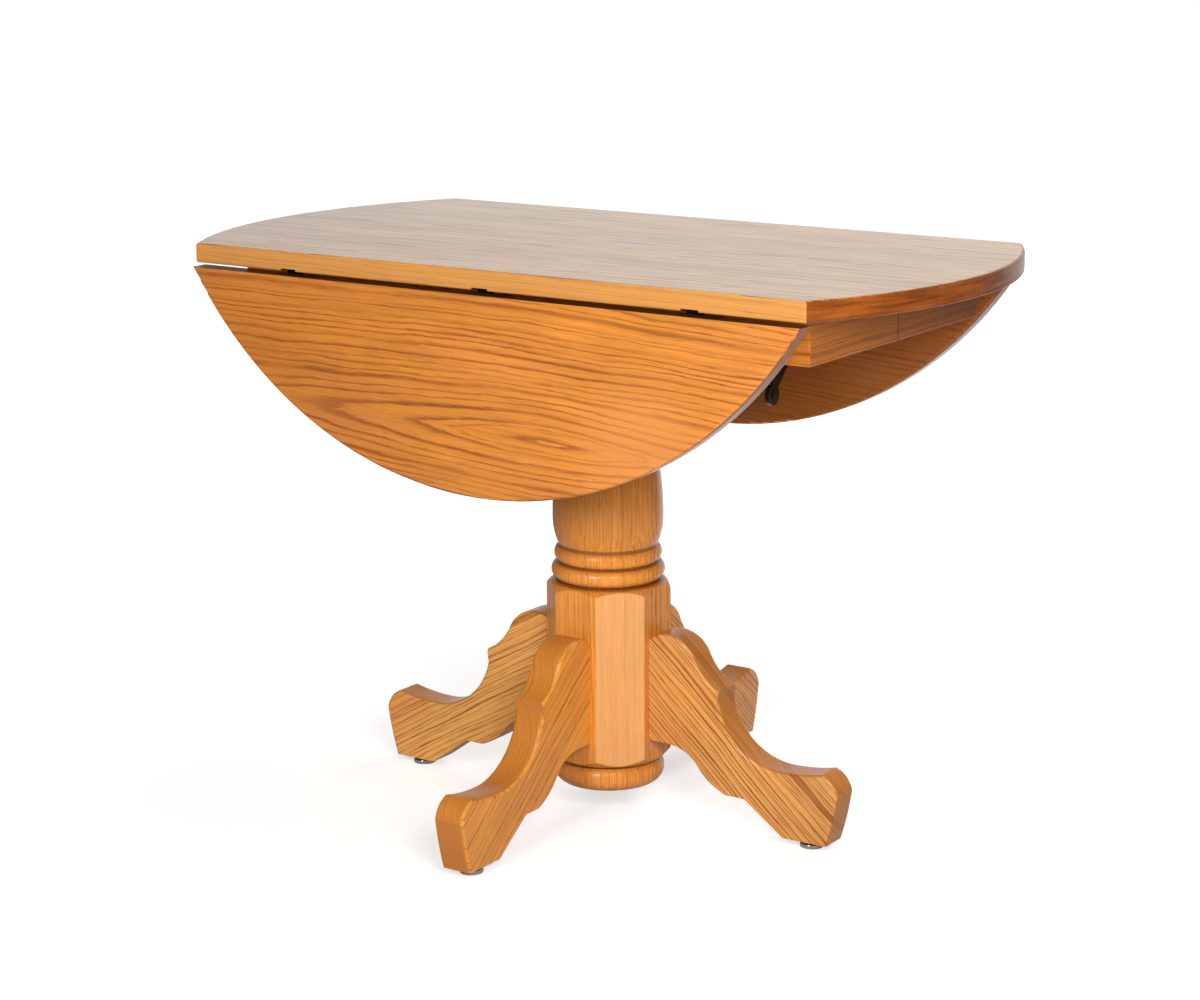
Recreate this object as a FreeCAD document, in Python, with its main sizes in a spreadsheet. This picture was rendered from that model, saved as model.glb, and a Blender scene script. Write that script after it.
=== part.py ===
"""Round oak drop-leaf pedestal table: a split extension top on wooden slides, two hanging leaves on
table hinges with folding steel stays, and a turned column on four sawn legs. Millimetres, +Z up,
origin on the floor under the column, hinge lines along X."""
import FreeCAD, Part
import math
import os
import re
import Sketcher

doc = FreeCAD.newDocument("drop_leaf_table")
sheet = doc.addObject("Spreadsheet::Sheet", "Sizes")

# Driving sizes: alias, value, what it measures
SIZES = (
    ("table_height", 759, "floor to the surface of the top"),
    ("top_radius", 533.4, "radius of the round top with both leaves raised"),
    ("top_half_width", 279.4, "middle of the table to a hinge edge of the top"),
    ("top_thickness", 25.4, "thickness of the top and of the leaves"),
    ("edge_round", 4, "round-over of the rims of the top and leaves"),
    ("edge_ease", 2, "eased under edges of the rim of the top"),
    ("hinge_arris", 1.5, "eased edges of the hinge face of the top"),
    ("seam_gap", 0.3, "open seam between the two halves of the top"),
    ("leaf_gap", 1.75, "open joint between the top and a raised leaf"),
    ("extension_travel", 152.4, "how far each half slides outwards"),
    ("pin_inset", 8.75, "hinge edge of the top in to the hinge pin"),
    ("pin_depth", 6.25, "hinge pin above the underside of the top"),
    ("pin_radius", 2.25, "hinge pin"),
    ("pin_play", 0.05, "hinge pin in its knuckles"),
    ("knuckle_radius", 4.5, "outside of a hinge knuckle"),
    ("knuckle_room", 0.8, "free space round a knuckle"),
    ("hinge_plate", 2.5, "thickness of the hinge plates"),
    ("hinge_width", 60, "length of a hinge along its pin"),
    ("hinge_middle", 24, "length of the middle knuckle, on the leaf"),
    ("hinge_side_play", 0.4, "gap between neighbouring knuckles"),
    ("hinge_top_flap", 42, "reach of the plate under the top"),
    ("hinge_leaf_flap", 62, "reach of the plate on the leaf"),
    ("hinge_spacing", 300, "middle hinge to an outer hinge"),
    ("rail_inset", 64.4, "hinge edge of the top in to the apron rail"),
    ("apron_corner_inset", 58, "round edge of the top in to the apron corner"),
    ("apron_height", 63, "height of the apron boards"),
    ("apron_thickness", 19, "thickness of the apron boards"),
    ("apron_ease", 1.5, "eased lower edges of the apron"),
    ("block_leg", 55, "corner block along each apron board"),
    ("block_height", 42, "corner block height"),
    ("slide_height", 42, "mounting plate up to the underside of the top"),
    ("slide_offset", 130, "middle of the table to a fixed slide"),
    ("slide_width", 28, "width of a slide bar"),
    ("slide_play", 0.4, "gap between neighbouring slide bars"),
    ("slide_lift", 1.5, "slide bar clear of what it passes over or under"),
    ("slide_end_gap", 6, "end of a slide bar to the apron rail"),
    ("tongue_height", 9, "tongue of a moving slide bar"),
    ("tongue_depth", 8, "tongue of a moving slide bar"),
    ("tongue_level", 18, "tongue above the mounting plate"),
    ("plate_thickness", 22, "mounting plate on the column"),
    ("plate_margin", 18, "mounting plate beyond the outer slide bars"),
    ("plate_half_width", 130, "mounting plate, half of its width"),
    ("plate_corner", 30, "cut corners of the mounting plate"),
    ("gear_module", 2.5, "tooth size of the equaliser"),
    ("gear_teeth", 24, "teeth of the equaliser pinion"),
    ("gear_thickness", 8, "pinion and rack teeth"),
    ("gear_lift", 2, "pinion and racks above the mounting plate"),
    ("gear_play", 0.22, "each tooth flank set back"),
    ("pressure_angle", 20, "slope of the rack teeth in degrees"),
    ("tooth_tip_share", 0.358, "half thickness of a pinion tooth tip in modules"),
    ("tooth_root_share", 0.906, "half thickness of a pinion tooth root in modules"),
    ("rack_back", 8, "rack bar behind its teeth"),
    ("rack_head_length", 52, "block that hangs a rack from its half"),
    ("rack_head_width", 26, "block that hangs a rack from its half"),
    ("axle_radius", 6, "bore of the pinion"),
    ("axle_play", 0.05, "axle in the pinion bore"),
    ("axle_depth", 18, "axle sunk into the mounting plate"),
    ("axle_head_radius", 10, "head of the axle"),
    ("axle_head_height", 4, "head of the axle"),
    ("dowel_spacing", 360, "middle alignment dowel to an outer one"),
    ("dowel_radius", 4, "alignment dowel of the seam"),
    ("dowel_play", 0.4, "alignment dowel in its socket"),
    ("dowel_set", 22, "alignment dowel glued into the front half"),
    ("dowel_reach", 13, "alignment dowel beyond the seam"),
    ("stay_spacing", 142, "middle of the table to a leaf stay"),
    ("stay_drop", 12.9, "stay pivot below the apron rail"),
    ("stay_upper", 116, "upper arm of a stay, pivot to knee"),
    ("stay_slack", 0.3, "stay arms longer than straight when raised"),
    ("stay_leaf_reach", 132, "hinge pin to the stay pivot on the leaf"),
    ("stay_standoff", 12, "stay pivot off the inner face of the leaf"),
    ("stay_metal", 3, "thickness of the stay arms and ears"),
    ("stay_side_gap", 0.5, "gap between neighbouring stay parts"),
    ("stay_half_width", 6.5, "half width of a stay arm"),
    ("stay_knee_radius", 14, "round knee of a stay arm"),
    ("stay_rivet", 3, "rivet of a stay pivot"),
    ("stay_rivet_play", 0.05, "rivet in a stay arm"),
    ("stay_rivet_head", 5.5, "head of a stay rivet"),
    ("stay_rivet_cap", 1.5, "thickness of a rivet head"),
    ("stay_flange", 2.5, "thickness of a bracket flange"),
    ("stay_flange_half", 24, "half length of a bracket flange"),
    ("stay_flange_width", 17, "width of a bracket flange"),
    ("column_clear", 37.5, "foot of the column above the floor"),
    ("bun_height", 33, "round foot of the column"),
    ("bun_radius", 65, "round foot of the column at its ends"),
    ("bun_bulge", 9.5, "swell of the round foot"),
    ("bun_groove", 2, "groove over the round foot"),
    ("octagon_flats", 155, "eight-sided part of the column across its flats"),
    ("octagon_height", 242.5, "eight-sided part of the column"),
    ("octagon_foot_radius", 75, "turned lower end of the eight-sided part"),
    ("octagon_foot_rise", 11, "height of that turned end"),
    ("shoulder_drop", 14, "turned shoulder of the eight-sided part"),
    ("shoulder_bulge", 3.5, "roundness of that shoulder"),
    ("turning_radius", 66.5, "column at the roots of the torus and bead"),
    ("torus_height", 24.5, "large ring of the column"),
    ("torus_bulge", 9, "swell of the large ring"),
    ("bead_height", 21.5, "small ring of the column"),
    ("bead_bulge", 5, "swell of the small ring"),
    ("neck_height", 2.5, "groove over the small ring"),
    ("vase_radius", 73.5, "widest part of the vase turning"),
    ("vase_foot_height", 34, "groove up to the widest part of the vase"),
    ("vase_foot_bulge", 1.7, "roundness of the foot of the vase"),
    ("vase_shoulder_radius", 57.5, "vase where its curve turns hollow"),
    ("vase_bulge", 4.3, "roundness of the vase"),
    ("waist_radius", 50, "thinnest part of the column"),
    ("waist_height", 57, "hollow below the waist"),
    ("waist_hollow", 1.9, "depth of the hollow below the waist"),
    ("flare_radius", 59, "column under its collar"),
    ("flare_height", 53, "hollow above the waist"),
    ("flare_hollow", 2.5, "depth of the hollow above the waist"),
    ("collar_height", 18, "ring near the top of the column"),
    ("collar_bulge", 5.5, "swell of that ring"),
    ("drum_radius", 62, "head of the column"),
    ("drum_height", 27.6, "head of the column"),
    ("bore_flats", 96, "eight-sided hollow of the column across its flats"),
    ("bore_over", 30, "hollow of the column above the leg tops"),
    ("leg_thickness", 44, "sawn leg"),
    ("leg_arris", 5, "rounded upper edges of a leg"),
    ("leg_ease", 1.5, "eased lower edges of a leg"),
    ("leg_root_high", 246.5, "top of a leg at the column"),
    ("leg_root_low", 106.3, "underside of a leg at the column"),
    ("leg_shoulder_reach", 71.5, "shoulder of a leg out from the column"),
    ("leg_shoulder_high", 226, "shoulder of a leg above the floor"),
    ("leg_shoulder_bulge", 18, "roundness of the shoulder"),
    ("leg_step_reach", 107.4, "step of a leg out from the column"),
    ("leg_step_high", 191, "upper corner of the step"),
    ("leg_step_height", 11, "height of the step"),
    ("leg_step_cut", 1.2, "undercut of the step"),
    ("leg_step_hollow", 4.3, "hollow above the step"),
    ("leg_instep_reach", 200.4, "lowest part of the top line"),
    ("leg_instep_high", 98, "lowest part of the top line"),
    ("leg_instep_hollow", 24, "hollow below the step"),
    ("leg_toe_reach", 260.4, "crest of the toe"),
    ("leg_toe_high", 105.5, "crest of the toe"),
    ("leg_toe_hollow", 1.8, "hollow behind the toe"),
    ("leg_tip_reach", 284, "tip of the toe"),
    ("leg_tip_high", 78.5, "tip of the toe"),
    ("leg_tip_bulge", 5, "roundness of the tip"),
    ("leg_foot_reach", 268.4, "front of the foot"),
    ("leg_foot_high", 11, "foot above the floor"),
    ("leg_face_bulge", 1.5, "roundness of the toe face"),
    ("leg_heel_reach", 203.4, "heel of the foot"),
    ("leg_ledge_reach", 146.4, "ledge of the underside, outer end"),
    ("leg_ledge_high", 52, "ledge of the underside"),
    ("leg_ledge_width", 28, "ledge of the underside"),
    ("leg_belly_reach", 74.4, "middle of the underside curve"),
    ("leg_belly_high", 85, "middle of the underside curve"),
    ("leg_belly_bulge", 4.2, "roundness near the ledge"),
    ("leg_arch_reach", 30.4, "straight part of the underside"),
    ("leg_arch_hollow", 5.4, "hollow near the column"),
    ("bolt_radius", 4, "hanger bolt of a leg"),
    ("bolt_edge", 33, "hanger bolt in from the edges of the leg root"),
    ("bolt_reach", 52, "hanger bolt inside the leg"),
    ("bolt_tail", 4, "hanger bolt beyond its nut"),
    ("nut_flats", 13, "nut across its flats"),
    ("nut_height", 7, "nut"),
    ("washer_radius", 10, "washer"),
    ("washer_height", 2, "washer"),
    ("leg_dowel_radius", 5, "dowel of a leg joint"),
    ("leg_dowel_half", 15, "half length of a leg dowel"),
    ("glide_radius", 15, "steel disc of a glide"),
    ("glide_height", 6, "steel disc of a glide"),
    ("glide_edge", 2, "rounded rim of a glide"),
    ("glide_stem", 4, "threaded stem of a glide"),
    ("glide_stem_length", 24, "stem inside the leg"),
    ("collar_radius", 9.5, "black collar over a glide"),
    ("lag_offset", 34, "lag screws of the mounting plate"),
    ("lag_head", 7, "lag screw head"),
    ("lag_head_height", 5, "lag screw head"),
    ("lag_shank", 3.5, "lag screw"),
    ("lag_length", 75, "lag screw"),
    ("post_screw_head", 5, "screw of a slide bar"),
    ("post_screw_head_height", 4, "screw of a slide bar"),
    ("post_screw_shank", 2.3, "screw of a slide bar"),
    ("post_screw_length", 38, "screw of a slide bar"),
    ("post_screw_bite", 15, "screw inside the top"),
    ("post_screw_from_end", 30, "screw in from the end of a slide bar"),
    ("plate_screw_out", 95, "screws of the fixed slide bars from the middle"),
    ("flat_screw_head", 3.6, "screw of a hinge or bracket"),
    ("flat_screw_head_height", 1.5, "screw of a hinge or bracket"),
    ("flat_screw_shank", 1.7, "screw of a hinge or bracket"),
    ("flat_screw_length", 17, "screw of a hinge or bracket"),
    ("flat_screw_margin", 8, "hinge screws in from the ends of a plate"),
)

# Sizes that follow from the driving ones
FOLLOWING = (
    ("underside", "table_height - top_thickness"),
    ("seam_half", "seam_gap / 2"),
    ("seam_end", "sqrt(top_radius ^ 2 - seam_half ^ 2)"),
    ("top_corner", "sqrt(top_radius ^ 2 - top_half_width ^ 2)"),
    ("pin_reach", "top_half_width - pin_inset"),
    ("pin_height", "underside + pin_depth"),
    ("knuckle_clear", "knuckle_radius + knuckle_room"),
    ("tab_clear", "pin_depth + knuckle_room"),
    ("leaf_inner", "pin_reach - pin_depth"),
    ("leaf_edge", "pin_height - pin_inset - leaf_gap"),
    ("leaf_centre", "pin_height + pin_reach"),
    ("leaf_outer", "leaf_inner + top_thickness"),
    ("leaf_low", "leaf_centre - top_radius"),
    ("rail_face", "top_half_width - rail_inset"),
    ("rail_inner", "rail_face - apron_thickness"),
    ("end_face", "sqrt((top_radius - apron_corner_inset) ^ 2 - rail_face ^ 2)"),
    ("end_inner", "end_face - apron_thickness"),
    ("apron_bottom", "underside - apron_height"),
    ("plate_top", "underside - slide_height"),
    ("plate_bottom", "plate_top - plate_thickness"),
    ("slide_reach", "rail_inner - slide_end_gap"),
    ("slide_step", "slide_width + slide_play"),
    ("plate_half_length", "slide_offset + slide_step + slide_width / 2 + plate_margin"),
    ("pitch_radius", "gear_module * gear_teeth / 2"),
    ("tip_radius", "pitch_radius + gear_module"),
    ("root_radius", "pitch_radius - 1.25 * gear_module"),
    ("gear_bottom", "plate_top + gear_lift"),
    ("gear_top", "gear_bottom + gear_thickness"),
    ("tooth_pitch", "pi * gear_module"),
    ("rack_teeth", "floor(extension_travel / tooth_pitch) + 4"),
    ("rack_root", "pitch_radius + 1.25 * gear_module"),
    ("rack_slope", "gear_module * tan(pressure_angle)"),
    ("octagon_half", "octagon_flats / 2"),
    ("blank_radius", "octagon_half / cos(22.5) + 1"),
    ("bun_top", "column_clear + bun_height"),
    ("octagon_bottom", "bun_top + bun_groove"),
    ("octagon_top", "octagon_bottom + octagon_height"),
    ("torus_top", "octagon_top + torus_height"),
    ("bead_top", "torus_top + bead_height"),
    ("neck_top", "bead_top + neck_height"),
    ("vase_belly", "neck_top + vase_foot_height"),
    ("drum_bottom", "plate_bottom - drum_height"),
    ("collar_bottom", "drum_bottom - collar_height"),
    ("waist_level", "collar_bottom - flare_height"),
    ("vase_shoulder", "waist_level - waist_height"),
    ("bolt_low", "leg_root_low + bolt_edge"),
    ("bolt_high", "leg_root_high - bolt_edge"),
    ("glide_reach", "octagon_half + (leg_heel_reach + leg_foot_reach) / 2"),
    ("stay_bracket_reach", "rail_face - apron_thickness / 2"),
    ("stay_bracket_height", "apron_bottom - stay_drop"),
    ("stay_leaf_out", "leaf_inner - stay_standoff"),
    ("stay_leaf_height", "pin_height - stay_leaf_reach"),
    ("stay_raised_across", "stay_leaf_reach + pin_reach - stay_bracket_reach"),
    ("stay_raised_up", "pin_height - pin_depth - stay_standoff - stay_bracket_height"),
    ("stay_lower", "sqrt(stay_raised_across ^ 2 + stay_raised_up ^ 2) + stay_slack - stay_upper"),
    ("stay_across", "stay_leaf_out - stay_bracket_reach"),
    ("stay_down", "stay_bracket_height - stay_leaf_height"),
    ("stay_apart", "sqrt(stay_across ^ 2 + stay_down ^ 2)"),
    ("stay_foot", "(stay_upper ^ 2 - stay_lower ^ 2 + stay_apart ^ 2) / (2 * stay_apart)"),
    ("stay_bow", "sqrt(stay_upper ^ 2 - stay_foot ^ 2)"),
    ("knee_reach", "stay_bracket_reach + (stay_foot * stay_across - stay_bow * stay_down) / stay_apart"),
    ("knee_height", "stay_bracket_height - (stay_foot * stay_down + stay_bow * stay_across) / stay_apart"),
)
ALIASES = {row[0] for row in SIZES} | {row[0] for row in FOLLOWING}

for number, (alias, size, words) in enumerate(SIZES, 1):
    sheet.set(f"A{number}", words)
    sheet.set(f"B{number}", str(size))
    sheet.setAlias(f"B{number}", alias)
for number, (alias, formula) in enumerate(FOLLOWING, len(SIZES) + 1):
    sheet.set(f"B{number}", "=" + formula)
    sheet.setAlias(f"B{number}", alias)
doc.recompute()

# Turns that point a rod along an axis
POINTING = {
    "+z": FreeCAD.Rotation(),
    "-z": FreeCAD.Rotation(FreeCAD.Vector(1, 0, 0), 180),
    "+x": FreeCAD.Rotation(FreeCAD.Vector(0, 1, 0), 90),
    "-x": FreeCAD.Rotation(FreeCAD.Vector(0, 1, 0), -90),
    "+y": FreeCAD.Rotation(FreeCAD.Vector(1, 0, 0), -90),
    "-y": FreeCAD.Rotation(FreeCAD.Vector(1, 0, 0), 90),
}
HALVES = (("front", 0), ("back", 180))
SIDES = (("left", -1), ("right", 1))
NEAR = 1e-4
sub_parts = []


def cells(text):
    """Expression text with each alias written as a cell of the sheet."""
    return re.sub(r"[a-z_]+", lambda word: "Sizes." + word[0] if word[0] in ALIASES else word[0], text)


def value(text):
    """Number that an expression gives now."""
    return float(sheet.evalExpression(cells(text)))


def bind(thing, **sizes):
    """Binds properties of a thing to expressions."""
    for name, text in sizes.items():
        thing.setExpression(name, cells(text))


def about_z(turn):
    """Rotation about the table's own axis."""
    return FreeCAD.Rotation(FreeCAD.Vector(0, 0, 1), turn)


def place(thing, base, turn=0, pointing="+z"):
    """Stands a primitive at a base point, then turns both about the table's axis."""
    thing.Placement = FreeCAD.Placement(FreeCAD.Vector(), about_z(turn) * POINTING[pointing])
    across = round(math.cos(math.radians(turn)))
    along = round(math.sin(math.radians(turn)))
    x, y, z = base
    thing.setExpression("Placement.Base.x", cells(f"({x}) * {across} - ({y}) * {along}"))
    thing.setExpression("Placement.Base.y", cells(f"({x}) * {along} + ({y}) * {across}"))
    thing.setExpression("Placement.Base.z", cells(z))


def block(name, x, y, z, turn=0):
    """Box between (low, high) expressions on each axis."""
    thing = doc.addObject("Part::Box", name)
    for side, (low, high) in zip(("Length", "Width", "Height"), (x, y, z)):
        bind(thing, **{side: f"({high}) - ({low})"})
    place(thing, (x[0], y[0], z[0]), turn)
    return thing


def rod(name, radius, base, length, pointing="+z", turn=0):
    """Cylinder from a base point along an axis."""
    thing = doc.addObject("Part::Cylinder", name)
    bind(thing, Radius=radius, Height=length)
    place(thing, base, turn, pointing)
    return thing


def group(name, pieces):
    """Separate solids kept together."""
    thing = doc.addObject("Part::Compound", name)
    thing.Links = pieces
    return thing


def joined(name, pieces):
    """One solid out of several that overlap."""
    thing = doc.addObject("Part::MultiFuse", name)
    thing.Shapes = pieces
    return thing


def without(name, base, tools):
    """Base with the tools cut out of it."""
    thing = doc.addObject("Part::Cut", name)
    thing.Base = base
    thing.Tool = tools[0] if len(tools) == 1 else joined(name + "_cutters", tools)
    return thing


def node(thing, name):
    """Gives a finished sub-part the label that names its file."""
    thing.Label = name
    sub_parts.append(thing)
    return thing


def solid(name, turn=0):
    """New body, turned about the table's axis."""
    body = doc.addObject("PartDesign::Body", name)
    body.Placement = FreeCAD.Placement(FreeCAD.Vector(), about_z(turn))
    return body


def origin_plane(body, plane):
    """One of the three planes of a body's own origin."""
    return [feature for feature in body.Origin.OriginFeatures if feature.Role == plane][0]


def bulge_radius(start, end, bulge):
    """Expression of the radius of an arc that rises by a bulge over its chord."""
    chord = f"((({end[0]}) - ({start[0]})) ^ 2 + (({end[1]}) - ({start[1]})) ^ 2) / 4"
    return f"abs(({chord} + ({bulge}) ^ 2) / (2 * ({bulge})))"


def outline(body, name, plane, corners, level="0"):
    """Closed sketch, drawn anticlockwise. A corner is (across, up) or (across, up, bulge): a bulge
    bends the side that leaves the corner outwards, or inwards where it is negative."""
    sketch = body.newObject("Sketcher::SketchObject", name)
    sketch.AttachmentSupport = [(origin_plane(body, plane), "")]
    sketch.MapMode = "FlatFace"
    sketch.setExpression("AttachmentOffset.Base.z", cells(level))
    spots = [FreeCAD.Vector(value(corner[0]), value(corner[1]), 0) for corner in corners]
    starts = []
    radii = {}
    for index, corner in enumerate(corners):
        following = (index + 1) % len(corners)
        start, end = spots[index], spots[following]
        if len(corner) == 2:
            sketch.addGeometry(Part.LineSegment(start, end), False)
            starts.append((1, 2))
            continue
        bulge = value(corner[2])
        radii[index] = bulge_radius(corner, corners[following], corner[2])
        outward = FreeCAD.Vector(end.y - start.y, start.x - end.x, 0).normalize()
        radius = value(radii[index])
        centre = (start + end) * 0.5 + outward * (bulge - math.copysign(radius, bulge))
        first, last = (start, end) if bulge > 0 else (end, start)
        low = math.atan2(first.y - centre.y, first.x - centre.x)
        high = math.atan2(last.y - centre.y, last.x - centre.x)
        circle = Part.Circle(centre, FreeCAD.Vector(0, 0, 1), radius)
        sketch.addGeometry(Part.ArcOfCircle(circle, low, high if high > low else high + 2 * math.pi), False)
        starts.append((1, 2) if bulge > 0 else (2, 1))
    for index in range(len(corners)):
        following = (index + 1) % len(corners)
        ends = (index, starts[index][1], following, starts[following][0])
        sketch.addConstraint(Sketcher.Constraint("Coincident", *ends))
    for index, corner in enumerate(corners):
        for kind, text, number in (("DistanceX", corner[0], spots[index].x),
                                   ("DistanceY", corner[1], spots[index].y)):
            rule = Sketcher.Constraint(kind, -1, 1, index, starts[index][0], number)
            sketch.setExpression(f"Constraints[{sketch.addConstraint(rule)}]", cells(text))
        if index in radii:
            rule = Sketcher.Constraint("Radius", index, value(radii[index]))
            sketch.setExpression(f"Constraints[{sketch.addConstraint(rule)}]", cells(radii[index]))
    return sketch


def pad(body, sketch, length, name="pad", symmetric=False):
    """Sketch given a thickness."""
    feature = body.newObject("PartDesign::Pad", name)
    feature.Profile = sketch
    bind(feature, Length=length)
    if symmetric:
        feature.SideType = "Symmetric"
    return feature


def pocket(body, sketch, length, name, upwards=True):
    """Sketch cut out of the body, measured from the sketch."""
    doc.recompute()
    before = body.Shape.Volume
    feature = body.newObject("PartDesign::Pocket", name)
    feature.Profile = sketch
    feature.Reversed = upwards
    bind(feature, Length=length)
    doc.recompute()
    if body.Shape.Volume > before - 1:
        raise RuntimeError(name + " cuts nothing")
    return feature


def rounded(body, feature, radius, wanted, name):
    """Rounds the edges of a feature that a test picks."""
    doc.recompute()
    edges = [f"Edge{number}" for number, edge in enumerate(feature.Shape.Edges, 1) if wanted(edge)]
    fillet = body.newObject("PartDesign::Fillet", name)
    fillet.Base = (feature, edges)
    bind(fillet, Radius=radius)
    return fillet


def all_at(edge, axis, level):
    """Whether both ends of an edge lie at a level of an axis."""
    return all(abs(getattr(vertex.Point, axis) - level) < NEAR for vertex in edge.Vertexes)


def screw(kind, name, base, pointing, turn=0):
    """Flat-headed screw, from the outer face of its head along an axis."""
    head = rod(name + "_head", kind + "_head", base, kind + "_head_height", pointing, turn)
    shank = rod(name + "_shank", kind + "_shank", base, kind + "_length", pointing, turn)
    return joined(name, [head, shank])


def octagon(half):
    """Corners of an octagon with flats square to the axes."""
    reach = f"({half}) / cos(22.5)"
    angles = [22.5 + 45 * step for step in range(8)]
    return [(f"{reach} * cos({angle})", f"{reach} * sin({angle})") for angle in angles]


# Column: one turned piece with eight flats, hollow from below so that the leg bolts can be reached
column = solid("column_body")
turned = outline(column, "column_profile", "XZ_Plane", [
    ("0", "column_clear"),
    ("bun_radius", "column_clear", "bun_bulge"),
    ("bun_radius", "bun_top"),
    ("bun_radius", "octagon_bottom"),
    ("octagon_foot_radius", "octagon_bottom"),
    ("blank_radius", "octagon_bottom + octagon_foot_rise"),
    ("blank_radius", "octagon_top - shoulder_drop", "shoulder_bulge"),
    ("turning_radius", "octagon_top", "torus_bulge"),
    ("turning_radius", "torus_top", "bead_bulge"),
    ("turning_radius", "bead_top"),
    ("turning_radius", "neck_top", "vase_foot_bulge"),
    ("vase_radius", "vase_belly", "vase_bulge"),
    ("vase_shoulder_radius", "vase_shoulder", "-waist_hollow"),
    ("waist_radius", "waist_level", "-flare_hollow"),
    ("flare_radius", "collar_bottom", "collar_bulge"),
    ("flare_radius", "drum_bottom"),
    ("drum_radius", "drum_bottom"),
    ("drum_radius", "plate_bottom"),
    ("0", "plate_bottom"),
])
revolution = column.newObject("PartDesign::Revolution", "column_turning")
revolution.Profile = turned
revolution.ReferenceAxis = (turned, ["V_Axis"])
flats = outline(column, "column_flats", "XY_Plane", [
    ("-2 * blank_radius", "-2 * blank_radius"),
    ("2 * blank_radius", "-2 * blank_radius"),
    ("2 * blank_radius", "2 * blank_radius"),
    ("-2 * blank_radius", "2 * blank_radius"),
])
corner_numbers = octagon("octagon_half")
spots = [FreeCAD.Vector(value(x), value(y), 0) for x, y in corner_numbers]
for index in range(8):
    flats.addGeometry(Part.LineSegment(spots[index], spots[(index + 1) % 8]), False)
for index in range(8):
    ends = (4 + index, 2, 4 + (index + 1) % 8, 1)
    flats.addConstraint(Sketcher.Constraint("Coincident", *ends))
for index, (x, y) in enumerate(corner_numbers):
    for kind, text, number in (("DistanceX", x, spots[index].x), ("DistanceY", y, spots[index].y)):
        rule = Sketcher.Constraint(kind, -1, 1, 4 + index, 1, number)
        flats.setExpression(f"Constraints[{flats.addConstraint(rule)}]", cells(text))
pocket(column, flats, "plate_bottom", "column_flats_cut")
hollow = outline(column, "column_hollow", "XY_Plane", octagon("bore_flats / 2"))
pocket(column, hollow, "leg_root_high + bore_over", "column_hollow_cut")

# Legs: sawn boards butted on four flats of the column. Each row gives the finish of the edges along the side
# that leaves a corner, then the corner, then the bulge of a curved side
LEG_CORNERS = (
    ("sharp", "0", "leg_root_low"),
    ("eased", "leg_arch_reach", "leg_root_low", "-leg_arch_hollow"),
    ("eased", "leg_belly_reach", "leg_belly_high", "leg_belly_bulge"),
    ("eased", "leg_ledge_reach - leg_ledge_width", "leg_ledge_high"),
    ("eased", "leg_ledge_reach", "leg_ledge_high"),
    ("eased", "leg_heel_reach", "leg_foot_high"),
    ("rounded", "leg_foot_reach", "leg_foot_high", "leg_face_bulge"),
    ("rounded", "leg_tip_reach", "leg_tip_high", "leg_tip_bulge"),
    ("rounded", "leg_toe_reach", "leg_toe_high", "-leg_toe_hollow"),
    ("rounded", "leg_instep_reach", "leg_instep_high", "-leg_instep_hollow"),
    ("sharp", "leg_step_reach - leg_step_cut", "leg_step_high - leg_step_height"),
    ("rounded", "leg_step_reach", "leg_step_high", "-leg_step_hollow"),
    ("rounded", "leg_shoulder_reach", "leg_shoulder_high", "leg_shoulder_bulge"),
    ("sharp", "0", "leg_root_high"),
)
LEGS = (("right", 0), ("back", 90), ("left", 180), ("front", 270))


def leg_edges(finish):
    """Test for the edges of both broad faces of a leg that have one finish."""
    spots = [(value(f"octagon_half + {row[1]}"), value(row[2])) for row in LEG_CORNERS]
    sides = [(spots[index], spots[index + 1]) for index, row in enumerate(LEG_CORNERS[:-1]) if row[0] == finish]
    half = value("leg_thickness / 2")

    def near(vertex, spot):
        return math.hypot(vertex.X - spot[0], vertex.Z - spot[1]) < NEAR

    def wanted(edge):
        if len(edge.Vertexes) != 2 or not (all_at(edge, "y", half) or all_at(edge, "y", -half)):
            return False
        first, last = edge.Vertexes
        return any(near(first, start) and near(last, end) or
                   near(first, end) and near(last, start) for start, end in sides)
    return wanted


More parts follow.
